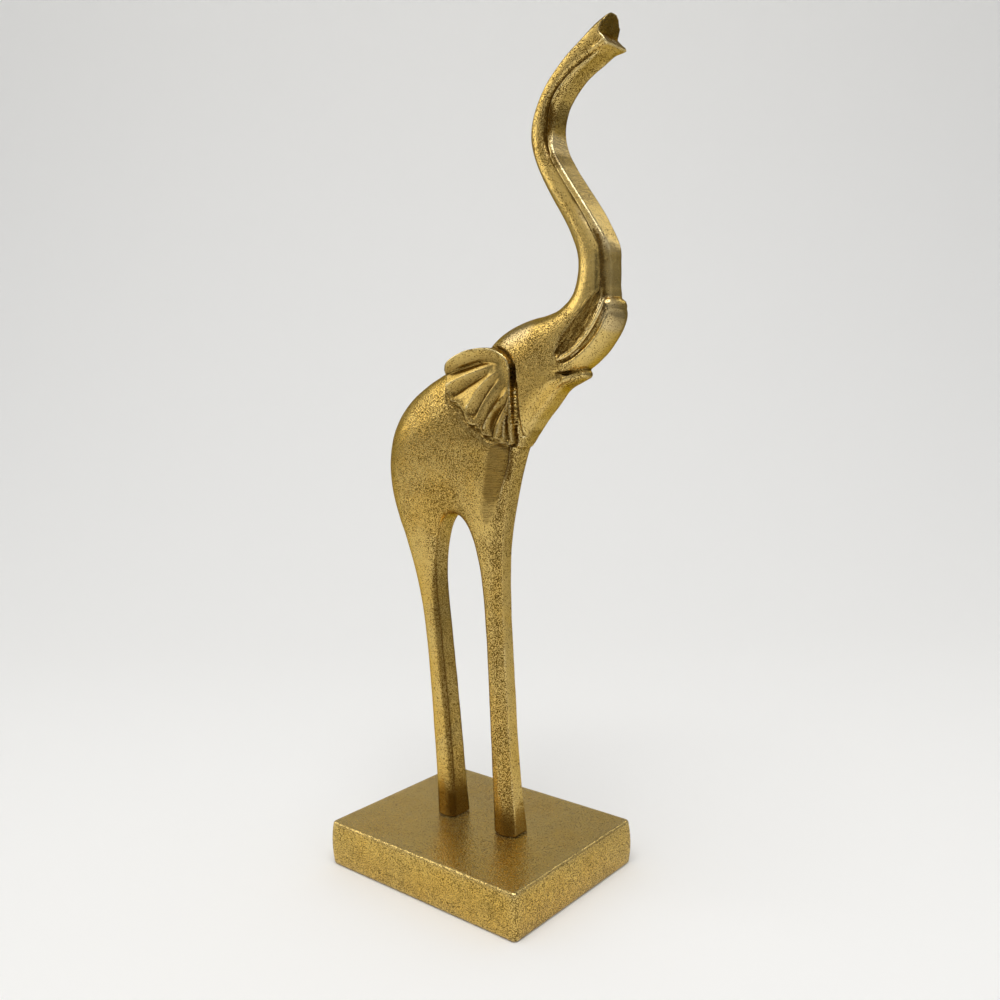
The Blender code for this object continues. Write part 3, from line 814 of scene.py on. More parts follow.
@dataclass
class Elephant:
    """The whole animal as one casting."""

    pitch: float = 0.5
    most_triangles: int = 192000
    # space round the solid, and the farthest from the skin that depths are told apart
    room: float = 3.0
    most_depth: float = 4.0
    waves: Waviness = Waviness(11, 26.0, 6.0)
    wave_height: float = 0.055
    stand_rounds: int = 16
    # start, span and most of the wear with its painted highlight, and of the painted shade, by bend
    # in 1/mm or by stand in mm
    edge_wear: tuple = (0.0, 1.1, 1.0)
    bulge_wear: tuple = (0.62, 0.6, 0.5)
    crease_shade: tuple = (0.0, 0.9, 1.0)
    dip_shade: tuple = (0.10, 0.45, 0.8)
    snout: tuple = (
        (58, 264, 3.2, 7), (65.4, 269, 4.8, 9.3), (70.4, 272, 5.8, 9.6), (75, 275.2, 6.1, 9.7),
        (80.4, 280, 6.2, 9.7), (85.6, 286.4, 6.2, 9.6), (88.4, 292.4, 6.2, 9.2),
        (89.6, 295.8, 4.6, 8.4))
    lip: tuple = (
        (54, 259.4, 4.2, 8.6), (61.5, 261.8, 3.4, 9.2), (67, 263.4, 3, 8.2),
        (71.2, 264.7, 2.8, 6.6), (73.6, 265.2, 2.5, 4.8))
    hollow: tuple = (
        (64.6, 275.6, 2.6, 4.4), (68, 279.2, 4.4, 5), (72, 282.9, 5.2, 5.4),
        (76.8, 287.8, 5.6, 5.6), (80.8, 293.6, 5.2, 5.6), (84.4, 299, 3, 5), (87.6, 303.4, 1, 3.6))
    hollow_side: float = 12.0
    # thin ridge at the edge of the hollow, and the broader one beside it
    hollow_rim: tuple = (
        (66, 273.8, 0.5, 10), (72.4, 277, 0.55, 10.2), (77.4, 281.2, 0.55, 10.3),
        (82.4, 286.8, 0.55, 10.1), (86.6, 293.6, 0.55, 9.6), (88.6, 299, 0.5, 9))
    tusk: tuple = (
        (64.2, 272.4, 0.8, 9.9), (69, 273.6, 0.85, 10), (75, 277.4, 0.95, 10.2),
        (80, 281.8, 0.95, 10.3), (84.6, 287.2, 0.95, 10.2), (88.4, 293.6, 0.9, 9.8),
        (90, 298.2, 0.7, 9))
    mouth: tuple = (
        (62.2, 266.6, 0.25, 8.6), (65.2, 266, 0.6, 6.6), (68, 265.9, 0.7, 5.6),
        (71, 266.6, 0.5, 6.4), (74.2, 267.7, 0.2, 5.6))
    behind_jaw: tuple = (
        (37.8, 271.8, 0.3, 9.8), (38.2, 269.6, 0.8, 8.2), (38.4, 265.4, 1.05, 7.6),
        (38.4, 261.6, 1, 8.8), (38.4, 256, 0.9, 9.6), (38.5, 251.4, 0.9, 9.7),
        (38.7, 245.3, 0.85, 9.8), (38.8, 239.1, 0.7, 9.9), (39, 235.6, 0.2, 10))
    # finger and lip of the trunk's tip, seen from the side, and the spoon in the finger's face
    notch: tuple = (
        (88, 415.2), (89.6, 419.6), (91.3, 424.2), (94.5, 434), (112, 434), (112, 400),
        (95.6, 407.6), (92.6, 409.8), (91.2, 412), (89.8, 413.4))
    spoon: tuple = ((94.4, 416, 6, 5.6), (97, 420.6, 6, 3.6))
    # groove between roll and flange, from the tip down, and the crest that follows it
    trunk_lines: tuple = (
        Stroke(((90, 408.4, -0.3, 0.7), (87.4, 408.2, -0.6, 0.75), (82, 406.9, -0.9, 0.8),
            (76.5, 404.9, -1.1, 0.8), (72.1, 402.7, -1.1, 0.8), (68.1, 400.1, -1.1, 0.8),
            (64.1, 397, -1.1, 0.8), (60.8, 393.4, -1.2, 0.85), (58.9, 390, -1.3, 0.9),
            (57.4, 384.5, -1.4, 0.95), (56.7, 380.6, -1.4, 0.95), (56.6, 377, -1.3, 0.9),
            (57.4, 372.3, -1, 0.9), (59.2, 367.5, -0.5, 0.8)), 1.8),
        Stroke(((87, 405.9, 0.3, 0.8), (80.6, 404.4, 0.4, 0.8), (75.4, 402.4, 0.45, 0.8),
            (70.2, 399, 0.4, 0.85), (66, 395.6, 0.3, 0.9), (62.8, 392, 0.2, 0.9)), 1.6))
    # shadow line along the tusk, the fold of the cheek and the jaw's edge
    head_lines: tuple = (
        Stroke(((66, 271.4, -0.4, 1), (71, 273.2, -0.6, 1.3), (77.6, 277.4, -0.7, 1.5),
            (82.8, 281.8, -0.7, 1.5), (87.2, 287.2, -0.6, 1.3), (90.6, 293.6, -0.4, 1))),
        Stroke(((64.5, 262.9, -0.3, 1.4), (58.5, 258.4, -0.5, 1.8), (51.5, 251.6, -0.5, 1.8),
            (45.2, 244.6, -0.3, 1.6))))
    # fold of the skin under the ear's edge
    under_ear: tuple = (
        Stroke(((-6.2, 262, -0.8, 1.3), (-5, 256, -1.3, 1.5), (-1.6, 251.8, -1.5, 1.7),
            (3.6, 249.4, -1.6, 1.8), (7, 244.6, -1.6, 1.8), (12, 240.6, -1.5, 1.7),
            (17.6, 237.8, -1.4, 1.6), (21.6, 234.6, -1.3, 1.5), (27.6, 232.2, -1.2, 1.4),
            (31, 229.6, -1, 1.3))),)
    # line of beads in front of the ear, and the furrow beside it
    beads: tuple = (
        Stroke(((38.2, 259.4, 0.4, 0.7), (38.2, 255, 0.8, 0.7), (38.4, 249, 0.8, 0.7),
            (38.6, 242, 0.7, 0.7), (38.8, 237, 0.4, 0.6)), beads=1.5),
        Stroke(((39.9, 262, -0.4, 0.55), (39.8, 256, -0.5, 0.55), (40, 249, -0.5, 0.55),
            (40.2, 242, -0.5, 0.55), (40.4, 236.6, -0.3, 0.5))))
    # the shoulder's flat, from the line level with the skin to the deepest one
    shoulder_level: tuple = (
        (21.8, 232), (21.2, 228.6), (19.9, 223), (18, 214.8), (16.2, 208.7), (14.6, 202),
        (13.6, 196))
    shoulder_deep: tuple = (
        (31.2, 232, 2), (30.6, 228.7, 2.1), (29.8, 223.2, 2), (27.4, 216.2, 1.6), (25, 209, 1.1),
        (23.2, 202, 0.6), (21.8, 196, 0.2))

    def forms(self) -> list:
        """The forms in the order in which they are joined."""
        return [
            Body(fillet=0.0),
            Facet(level=self.shoulder_level, deep=self.shoulder_deep),
            Skull(fillet=3.0),
            Trunk(fillet=1.6),
            Relief(strokes=self.trunk_lines, inside=3.0),
            Spindle(fillet=0.5, stations=self.snout, squareness=2.4),
            Spindle(fillet=1.6, stations=self.lip, squareness=2.2),
            Spindle(join=Join.CUT, fillet=0.8, stations=self.hollow, off_side=self.hollow_side),
            Relief(strokes=self.head_lines, inside=5.0),
            Ridge(fillet=0.4, stations=self.tusk),
            Ridge(fillet=0.3, stations=self.hollow_rim),
            Channel(join=Join.CUT, fillet=0.4, stations=self.mouth),
            Relief(strokes=self.under_ear),
            Ear(fillet=0.3),
            Channel(join=Join.CUT, fillet=0.6, stations=self.behind_jaw),
            Relief(strokes=self.beads),
            Wedge(join=Join.CUT, fillet=0.4, outline=self.notch),
            Spindle(join=Join.CUT, fillet=0.3, stations=self.spoon),
        ]

    def skin(self) -> bpy.types.Object:
        """Grow the skin over all the forms and thin it to its share of triangles."""
        low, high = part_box("elephant")
        grid = Grid(tuple(v / MM - self.room for v in low),
                    tuple(v / MM + self.room for v in high), self.pitch)
        forms = self.forms()
        for form in forms:
            form.prepare(grid)
        size = (len(grid.axis(0)), len(grid.axis(2)))
        planes = []
        for y in grid.axis(1):
            whole = np.full(size, -FAR)
            for form in forms:
                form.join_to(whole, y)
            planes.append(whole.astype(np.float32))
        values = np.clip(np.stack(planes, axis=1), -self.most_depth, self.most_depth)
        points, quads = Skin(grid).grow(values)
        made = mesh_object("elephant_skin", points, quads.tolist())
        self.thin(made)
        return made

    def thin(self, made: bpy.types.Object) -> None:
        """Collapse the flattest edges until the mesh is light enough."""
        triangles = sum(len(p.vertices) - 2 for p in made.data.polygons)
        change = made.modifiers.new("thin", 'DECIMATE')
        change.ratio = min(1.0, self.most_triangles / triangles)
        dense = made.data
        view = made.evaluated_get(bpy.context.evaluated_depsgraph_get())
        made.data = bpy.data.meshes.new_from_object(view)
        made.modifiers.clear()
        bpy.data.meshes.remove(dense)
        made.data.name = "elephant_skin"

    def wave(self, made: bpy.types.Object) -> None:
        """Give the skin the slow unevenness of a hand-finished casting."""
        points, normals, _ = vertex_arrays(made.data)
        height = self.waves.at(points) * self.wave_height
        height = np.minimum(height, self.wave_height) - self.wave_height
        height *= ease(points[:, 2], Body.foot, Body.foot + 3.0)
        push(made.data, points, normals, height)

    def mark(self, made: bpy.types.Object) -> None:
        """Store wear and painted highlight on edges and crests, painted shade in creases and dips,
        by the skin's shape, and its patches of each kind.
        """
        points, normals, edges = vertex_arrays(made.data)
        bend = bend_of(points, normals, edges)
        stand = stand_of(points, normals, edges, self.stand_rounds)
        # wear with a painted highlight on edges and crests; painted shade in creases and dips
        worn = share_past(bend, *self.edge_wear) + share_past(stand, *self.bulge_wear)
        sunk = share_past(-bend, *self.crease_shade) + share_past(-stand, *self.dip_shade)
        set_values(made.data, "worn", np.minimum(worn, 1.0))
        set_values(made.data, "sunk", np.minimum(sunk, 1.0))
        for name, patches in vars(Marks()).items():
            most = np.max([patch.at(points, normals) for patch in patches], axis=0)
            set_values(made.data, name, most)

    def build(self) -> bpy.types.Object:
        """Build and dress the animal, and let it stand for its solid."""
        made = self.skin()
        self.wave(made)
        self.mark(made)
        made.data.materials.append(GiltCast().material())
        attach(made, "root")
        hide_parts("elephant")
        LOG.info("%s: %d faces", made.name, len(made.data.polygons))
        return made


# ways that the skin can face, and two places that several patches share, painted shade among them
SIDE, FRONT, EDGE = (0, -1, 0), (1, 0, 0), (0.71, -0.71, 0)
SHOULDER = ( (26.2, 229, 4.4), (25, 222, 5), (23, 214, 4.6), (20.9, 206, 4), (19.2, 199, 3.4),
            (18.2, 194, 2.6))
HOLLOW = tuple((x, z, min(5.4, radius)) for x, z, radius, _ in Elephant.hollow)


@dataclass(frozen=True)
class Marks:
    """Where each kind of finish lies on the animal, and where shade and a pale sheen are painted.
    """

    brushed: tuple = (
        Patch(SHOULDER, SIDE, 0.4, soft=0.2),
        Patch(((75, 350.4, 8), (66.2, 361.4, 8), (61.6, 372, 5)), (0.9, 0, 0.4), 0.7))
    hatched: tuple = (
        Patch(HOLLOW, SIDE, 0, soft=0.2),
        Patch(((22, 197, 3), (21, 182, 2.4), (20.6, 172, 1.6)), SIDE, 0.4, strength=0.5))
    # painted pale sheen where the metal shows pale reflections: the trunk's face, the snout, the
    # crown and the tip's ledge
    bare: tuple = (
        Patch(((92, 324, 4), (88, 333, 5), (80, 341, 6), (72, 352, 6), (63, 366, 4),
            (61.5, 374, 2.6)), (0.9, 0, 0.4), 0.4, soft=0.9, strength=0.8),
        Patch(((92, 288, 4), (90, 297, 4)), strength=0.5),
        Patch(((33, 284, 4), (42, 288, 5)), soft=0.9, strength=0.6),
        Patch(((90.4, 412.6, 1.9), (93.6, 409.4, 1.9)), (0.5, 0, 0.86), 0.3),
        Patch(((91, 302, 4), (91, 318, 4)), FRONT, 0.5, strength=0.2))
    pitted: tuple = (
        Patch(((-8, 234, 24), (0, 212, 20)), SIDE, 0.6, soft=0.6, strength=0.6),
        Patch(((34, 282, 9), (52, 276, 10)), SIDE, 0.6, soft=0.6, strength=0.5),
        Patch(((-5, 251, 4), (3, 245, 4), (10, 238, 4), (20, 231, 3)), SIDE, 0.2, soft=0.5,
            strength=0.8),
        Patch(((32.4, 231, 2.2), (30.8, 224, 2.4), (28.4, 215, 2.2)), SIDE, 0.35),
        Patch(((27, 212, 2.6), (24, 195, 2.6), (21.5, 170, 2.8)), SIDE, 0.45, strength=0.6),
        Patch(((20.5, 160, 2.8), (19, 120, 4.6), (20, 80, 6), (21.5, 36, 6.5)), SIDE, 0.45,
            strength=0.36),
        Patch(((-14, 188, 3), (-22, 166, 2.6), (-23, 146, 2.4), (-20, 110, 2.4), (-16, 70, 2.4),
            (-13, 30, 3)), EDGE, 0.8, strength=0.8),
        Patch(((62.6, 368, 2.4), (65, 360, 2)), SIDE, 0, strength=0.8),
        Patch(((57.5, 364, 2.4), (56, 372, 3), (57.6, 382, 3.6), (59.6, 390, 2.8), (64, 396, 2)),
            SIDE, 0, strength=0.9),
        Patch(((90.6, 416, 3.6), (91.4, 421, 2.6)), FRONT, 0.4, strength=0.9),
        Patch(((88.4, 327, 1.8), (86.4, 331, 1.6)), SIDE, -0.3, strength=0.9))
    # painted shade and dark reflection: grooves, creases, folds, the mouth, the shoulder's flat,
    # under the ear, the hind leg's edge, the feet and their contact line
    dark: tuple = (
        Patch(HOLLOW, SIDE, 0, soft=0.25),
        Patch(((38.3, 271, 1.1), (38.5, 266, 1.4), (38.4, 261, 1.2)), strength=1.1),
        Patch(((58.9, 367.5, 0.8), (57.6, 372.3, 1.1), (57.4, 377, 1.6), (58.1, 380.5, 2.2),
            (58.9, 384.4, 2.3), (59.4, 388.3, 1.9), (60.2, 391.5, 1.1), (62.6, 395.4, 0.7)),
            SIDE, 0, soft=0.5),
        Patch(((58.9, 390, 0.6), (60.8, 393.4, 0.5), (64.1, 397, 0.5), (68.1, 400.1, 0.5),
            (72.1, 402.7, 0.5), (76.5, 404.9, 0.5), (82, 406.9, 0.5)), SIDE, 0, strength=0.8),
        *(Patch(side_line(dip, 3.4), SIDE, 0, soft=0.9, strength=0.66) for dip in Ear.dips),
        Patch(((19, 259, 9), (26, 254, 9)), SIDE, 0, soft=0.6, strength=0.32),
        Patch(side_line(Elephant.under_ear[0].line[2:], 1), SIDE, 0, soft=0.8, strength=0.8),
        Patch(((44, 237, 1.6), (42.6, 233, 1.8)), soft=0.6, strength=0.55),
        Patch(((62.6, 366, 1.6), (64.6, 361.6, 1.2)), SIDE, 0, soft=0.8, strength=0.7),
        Patch(((-26, 24.4, 1.2), (32, 24.4, 1.2)), strength=1.1),
        Patch(((31.6, 230.6, 0.9), (30.6, 225, 1), (28, 216, 0.9)), SIDE, 0, soft=0.8,
            strength=0.8),
        Patch(((84, 330, 0.6), (86.4, 326, 1.2), (87.4, 320, 1.5), (88, 312, 1.6),
            (88, 301, 1.4))),
        Patch(((90.2, 322, 1.4), (91, 312, 1.6), (90.6, 300, 1.6)), SIDE, 0.5, strength=0.4),
        Patch(((62.8, 266.2, 0.7), (68, 265.8, 1.2), (73, 266.9, 0.5))),
        Patch(SHOULDER[:4], SIDE, 0.4, soft=0.2, strength=0.78),
        Patch(SHOULDER[3:], SIDE, 0.4, soft=0.5, strength=0.5),
        Patch(((32.6, 231, 1.4), (31.4, 224, 1.5), (29.4, 215, 1.2)), SIDE, 0.35, strength=0.8),
        Patch(((-5.4, 256, 2.2), (-1, 249.4, 2.6), (6, 243.4, 2.6), (12, 237.6, 2.4),
            (20, 233.6, 2), (29, 230, 1.6)), SIDE, 0.2, soft=0.6, strength=0.35),
        Patch(((26.2, 241, 1.3), (25.2, 237.4, 1.5)), SIDE, 0, strength=0.7),
        Patch(((35.3, 245, 0.5), (34.4, 238, 0.7), (34.1, 235, 0.6)), SIDE, 0, strength=0.8),
        Patch(((-14, 188, 2), (-22, 166, 1.8), (-23, 146, 1.8), (-20, 110, 1.8), (-16, 70, 1.8),
            (-13, 30, 2.6)), EDGE, 0.82, strength=0.7),
        Patch(((-19, 20, 20), (-19, 27, 17)), soft=0.5, strength=0.75),
        Patch(((-14, 20, 20), (-14, 26, 16)), EDGE, 0.8, soft=0.5),
        Patch(((20, 20, 16), (20, 25, 15)), SIDE, 0.6, soft=0.5, strength=0.85),
        Patch(((20, 20, 12), (20, 25, 10)), soft=0.5, strength=0.4),
        Patch(((90.2, 417.6, 2.9), (91.2, 421.2, 2.8)), FRONT, 0.4, strength=0.72))
    polished: tuple = (
        Patch(((4, 268, 12), (22, 262, 16), (30, 250, 13)), soft=0.3, strength=0.82),
        Patch(((58, 256, 6), (46, 246, 5), (40, 238, 3)), strength=0.6),
        Patch(((76, 271, 4), (86, 280, 6), (92, 292, 6)), strength=0.85),
        Patch(((14, 284, 6), (30, 290, 5), (48, 294, 4)), (0, 0, 1), 0.3, strength=0.9),
        Patch(((33, 283, 4), (40, 286, 5), (50, 292, 4)), soft=0.8, strength=0.6),
        Patch(((76, 298, 6), (74, 312, 7), (71, 324, 6.5), (60, 345, 5), (50, 362, 4)),
            strength=0.7),
        Patch(((66, 391, 2), (74, 398.5, 2), (84, 404, 2.4)), strength=0.6),
        Patch(((91, 304, 4), (90, 324, 4), (76, 348, 6), (62, 370, 4)), FRONT, 0.5, strength=0.9),
        Patch(((81, 418, 4.5), (88, 420, 3.5)), strength=0.8),
        Patch(((90, 406, 3.6), (94, 406.5, 3)), strength=0.9),
        Patch(((24, 170, 4), (23, 130, 4), (25, 80, 4), (28, 30, 4)), FRONT, 0.85, strength=0.7),
        Patch(((-33, 176, 8), (-29, 140, 7), (-26, 100, 9), (-22, 50, 9)), SIDE, 0.3, soft=0.5,
            strength=0.75),
        Patch(((10, 205, 8), (14, 190, 7)), SIDE, 0.3, soft=0.5, strength=0.6),
        Patch(((85, 300, 3), (84, 312, 3), (79, 333, 3), (72, 346, 3), (64, 358, 3)), SIDE, 0,
            soft=0.5, strength=0.95))


@dataclass
class Plate:
    """Rectangular foot plate with rounded corners and slightly full sides."""

    length: float = 132.0
    width: float = 103.0
    height: float = 24.5
    corner: float = 3.6
    edge: float = 1.4
    fullness: float = 1.2
    corner_steps: int = 8
    side_steps: int = 36
    edge_steps: int = 6
    wall_steps: int = 14
    cap_steps: int = 26
    waves: Waviness = Waviness(5, 60.0, 14.0)
    wave_height: float = 0.10
    # bend in 1/mm of an edge fully rubbed and painted bright, and how far up a face looks to count
    # as the top
    edge_wear: float = 0.8
    topside: tuple = (0.6, 0.95)

    def at_corner(self, quarter: int, share: float, inset: float) -> Array:
        """Point at a share of the way round one corner, pulled in by an inset."""
        sx, sy = ((1, 1), (-1, 1), (-1, -1), (1, -1))[quarter % 4]
        angle, radius = math.radians(90.0 * (quarter + share)), self.corner - inset
        return np.array([sx * (0.5 * self.length - self.corner) + radius * math.cos(angle),
                         sy * (0.5 * self.width - self.corner) + radius * math.sin(angle)])

    def ring(self, inset: float, share: float) -> Array:
        """Rounded rectangle, pulled in by an inset and shrunk to a share of its size."""
        points = []
        for quarter in range(4):
            points += [self.at_corner(quarter, k / self.corner_steps, inset)
                       for k in range(self.corner_steps + 1)]
            start, stop = points[-1], self.at_corner(quarter + 1, 0.0, inset)
            points += [start + (stop - start) * k / self.side_steps
                       for k in range(1, self.side_steps)]
        return share * np.array(points)

    def levels(self) -> list:
        """Rings from the middle of the underside round to the middle of the top."""
        turn = [math.radians(90.0 * k / self.edge_steps) for k in range(self.edge_steps + 1)]
        rounding = [(self.edge * (1 - math.cos(a)), self.edge * (1 - math.sin(a))) for a in turn]
        wall = [(self.edge + (self.height - 2 * self.edge) * k / self.wall_steps, 0.0)
                for k in range(1, self.wall_steps)]
        side = rounding + wall + [(self.height - z, inset) for z, inset in reversed(rounding)]
        side = [(z, inset + self.fullness * (2 * z / self.height - 1) ** 2, 1.0)
                for z, inset in side]
        cap = [k / self.cap_steps for k in range(1, self.cap_steps)]
        under = [(0.0, side[0][1], share) for share in cap]
        over = [(self.height, side[-1][1], share) for share in reversed(cap)]
        return under + side + over

    def build(self) -> bpy.types.Object:
        """Build and dress the plate, and let it stand for its solid."""
        rings = [np.insert(self.ring(inset, share), 2, z, axis=1)
                 for z, inset, share in self.levels()]
        count, last = len(rings[0]), (len(rings) - 1) * len(rings[0])
        under = last + count
        faces = []
        for k in range(count):
            n = (k + 1) % count
            faces += [(row + k, row + n, row + count + n, row + count + k)
                      for row in range(0, last, count)]
            faces += [(under, n, k), (under + 1, last + k, last + n)]
        middles = [(0.0, 0.0, 0.0), (0.0, 0.0, self.height)]
        made = mesh_object("base_plate", np.vstack([*rings, middles]), faces)
        self.wave(made)
        made.data.materials.append(GiltPlate().material())
        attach(made, "root")
        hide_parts("base")
        LOG.info("%s: %d faces", made.name, len(made.data.polygons))
        return made

    def wave(self, made: bpy.types.Object) -> None:
        """Sink the faces a little here and there, and mark the edges for wear and a painted
        highlight.
        """
        points, normals, edges = vertex_arrays(made.data)
        height = np.clip(self.waves.at(points), -1.0, 1.0) - 1.0
        height *= 0.5 * self.wave_height * ease(points[:, 2], 0.0, 3.0)
        push(made.data, points, normals, height)
        bend = bend_of(points, normals, edges)
        # edges rubbed bright, partly a painted highlight
        set_values(made.data, "worn", share_past(bend, 0.0, self.edge_wear))
        set_values(made.data, "topside", ease(normals[:, 2], *self.topside))


# ---------------------------------------------------------------- finishes

class Nodes:
    """Short calls for placing shader nodes in one tree."""

    def __init__(self, tree: bpy.types.NodeTree) -> None:
        """Keep the tree that the nodes go into."""
        self.tree = tree

    def add(self, kind: str, **settings: object) -> bpy.types.Node:
        """Place a node and set its properties."""
        node = self.tree.nodes.new(kind)
        for name, value in settings.items():
            setattr(node, name, value)
        return node

    def put(self, target: bpy.types.NodeSocket, value: object) -> None:
        """Link a socket to an input, or set the input to a constant."""
        if isinstance(value, bpy.types.NodeSocket):
            self.tree.links.new(value, target)
        else:
            target.default_value = value

    def math(self, operation: str, a: object, b: object,
             clamp: bool = False) -> bpy.types.NodeSocket:
        """Calculate with two numbers."""
        node = self.add("ShaderNodeMath", operation=operation, use_clamp=clamp)
        self.put(node.inputs[0], a)
        self.put(node.inputs[1], b)
        return node.outputs[0]

    def span(self, value: object, low: float, high: float, to_low: object = 0.0,
             to_high: object = 1.0, smooth: bool = False) -> bpy.types.NodeSocket:
        """Map a range on to another, held at its ends."""
        node = self.add("ShaderNodeMapRange",
                        interpolation_type='SMOOTHSTEP' if smooth else 'LINEAR')
        for socket, item in zip(node.inputs, (value, low, high, to_low, to_high)):
            self.put(socket, item)
        return node.outputs[0]

    def mix(self, share: object, a: object, b: object) -> bpy.types.NodeSocket:
        """Mix two colours by a share."""
        node = self.add("ShaderNodeMix", data_type='RGBA')
        for k, item in zip((0, 6, 7), (share, a, b)):
            self.put(node.inputs[k], item)
        return node.outputs[2]

    def noise(self, vector: object, scale: object, detail: float = 2.0, roughness: float = 0.5,
              distortion: float = 0.0) -> bpy.types.NodeSocket:
        """Soft noise from 0 to 1."""
        node = self.add("ShaderNodeTexNoise")
        for name, item in (("Vector", vector), ("Scale", scale), ("Detail", detail),
                           ("Roughness", roughness), ("Distortion", distortion)):
            self.put(node.inputs[name], item)
        return node.outputs[0]

    def value_of(self, name: str) -> bpy.types.NodeSocket:
        """A number stored on the mesh."""
        return self.add("ShaderNodeAttribute", attribute_name=name).outputs["Fac"]

    def along(self, vector: object, way: tuple) -> bpy.types.NodeSocket:
        """How far a place lies along a direction."""
        node = self.add("ShaderNodeVectorMath", operation='DOT_PRODUCT')
        self.put(node.inputs[0], vector)
        self.put(node.inputs[1], way)
        return node.outputs["Value"]

    def height_of(self, vector: object) -> bpy.types.NodeSocket:
        """The last part of a vector."""
        node = self.add("ShaderNodeSeparateXYZ")
        self.put(node.inputs[0], vector)
        return node.outputs[2]

    def turned(self, vector: object, part: str, amounts: tuple) -> bpy.types.NodeSocket:
        """A place with its Rotation or Scale changed."""
        node = self.add("ShaderNodeMapping")
        self.put(node.inputs["Vector"], vector)
        self.put(node.inputs[part], amounts)
        return node.outputs[0]

    def group(self, tree: bpy.types.NodeTree, **values: object) -> bpy.types.Node:
        """Place a shared group and feed its inputs by name."""
        node = self.add("ShaderNodeGroup", node_tree=tree)
        for name, value in values.items():
            self.put(node.inputs[name], value)
        return node


def new_material(name: str) -> tuple:
    """Make a material, and give it with its node helper and its shader."""
    made = bpy.data.materials.new(name)
    made.use_nodes = True
    return made, Nodes(made.node_tree), made.node_tree.nodes["Principled BSDF"]


class Socket(Enum):
    """What a group's socket carries."""

    VECTOR = 'NodeSocketVector'
    NUMBER = 'NodeSocketFloat'
    COLOUR = 'NodeSocketColor'


class Shared:
    """Effects that several finishes use, each built once as a shader node group."""

    # grain: waves to a metre, shares that make up its level, and where a pit begins
    fine, coarse, places = 2100.0, 520.0, 85.0
    coarse_share, crowd_share, place_share = 0.12, 0.14, 0.12
    pit_level, pit_edge, coarse_height = 0.57, 0.05, 0.45
    # strokes of the brush
    strokes, squeeze, stroke_span = 1500.0, (0.10, 0.10, 1.0), (0.38, 0.62)
    # drift of the gilt's tone, and how strongly the wear with its painted highlight and the pits
    # colour it
    drift, drift_span, wear_share, pit_share = 40.0, (0.36, 0.66), 0.75, 0.92

    @staticmethod
    def start(name: str, inputs: dict, outputs: dict) -> tuple:
        """Make an empty group.

        Args:
            name: the group's name.
            inputs: kind of socket by the name of each input.
            outputs: kind of socket by the name of each output.
        Returns:
            The group, its node helper, its given sockets and its output node.
        """
        tree = bpy.data.node_groups.new(name, 'ShaderNodeTree')
        for way, sockets in (('INPUT', inputs), ('OUTPUT', outputs)):
            for label, kind in sockets.items():
                tree.interface.new_socket(label, in_out=way, socket_type=kind.value)
        n = Nodes(tree)
        given, out = n.add("NodeGroupInput"), n.add("NodeGroupOutput")
        return tree, n, given.outputs[:len(inputs)], out

    @staticmethod
    @cache
    def sand_grain() -> bpy.types.NodeTree:
        """Grain of a sand casting: crowded small pits, and a softer unevenness under them."""
        tree, n, (place, crowd), out = Shared.start(
            "sand grain", {"Place": Socket.VECTOR, "Crowding": Socket.NUMBER},
            {"Pits": Socket.NUMBER, "Height": Socket.NUMBER})
        fine = n.noise(place, Shared.fine, 1.0, 0.5, 0.5)
        coarse = n.noise(place, Shared.coarse, 2.0, 0.5, 0.3)
        where = n.noise(place, Shared.places, 3.0, 0.6)
        both = n.math('ADD', n.math('MULTIPLY', fine, 1.0 - Shared.coarse_share),
                      n.math('MULTIPLY', coarse, Shared.coarse_share))
        edge = n.math('ADD', n.math('MULTIPLY', crowd, Shared.crowd_share), n.math(
            'MULTIPLY', n.math('SUBTRACT', where, 0.5), Shared.place_share))
        level = n.math('SUBTRACT', n.math('ADD', both, edge), Shared.pit_level)
        pits = n.span(level, 0.0, Shared.pit_edge, 0.0, 1.0, True)
        swell = n.math('MULTIPLY', coarse, Shared.coarse_height)
        n.put(out.inputs["Pits"], pits)
        n.put(out.inputs["Height"], n.math('SUBTRACT', swell, pits))
        return tree

    @staticmethod
    @cache
    def brush_lines() -> bpy.types.NodeTree:
        """Fine level strokes of a file or brush, as a height."""
        tree, n, (place, share, fineness), out = Shared.start(
            "brush lines", {"Place": Socket.VECTOR, "Share": Socket.NUMBER,
                            "Fineness": Socket.NUMBER}, {"Height": Socket.NUMBER})
        squeezed = n.turned(place, "Scale", Shared.squeeze)
        lines = n.noise(squeezed, n.math('MULTIPLY', fineness, Shared.strokes), 2.0, 0.6, 0.2)
        n.put(out.inputs[0], n.math('MULTIPLY', n.span(lines, *Shared.stroke_span), share))
        return tree

    @staticmethod
    @cache
    def gilding() -> bpy.types.NodeTree:
        """Colour of the gilt: slow drift of tone, dark in pits, painted shade in hollows, and
        bright on edges as wear and painted highlight.
        """
        kinds = dict.fromkeys(("Gold", "Warm", "Shade", "Bright"), Socket.COLOUR)
        kinds |= dict.fromkeys(("Pits", "Sunk", "Worn"), Socket.NUMBER)
        tree, n, given, out = Shared.start(
            "gilding", {"Place": Socket.VECTOR, **kinds}, {"Colour": Socket.COLOUR})
        place, gold, warm, shade, bright, pits, sunk, worn = given
        drift = n.noise(place, Shared.drift, 3.0, 0.55, 0.4)
        tone = n.mix(n.span(drift, *Shared.drift_span, 0.0, 1.0, True), gold, warm)
        # edges and crests rubbed bright, partly a painted highlight
        rubbed_and_highlit = n.mix(n.math('MULTIPLY', worn, Shared.wear_share, True), tone, bright)
        pitted = n.mix(n.math('MULTIPLY', pits, Shared.pit_share, True), rubbed_and_highlit, shade)
        # painted shade over creases, dips and hollows
        n.put(out.inputs[0], n.mix(sunk, pitted, shade))
        return tree


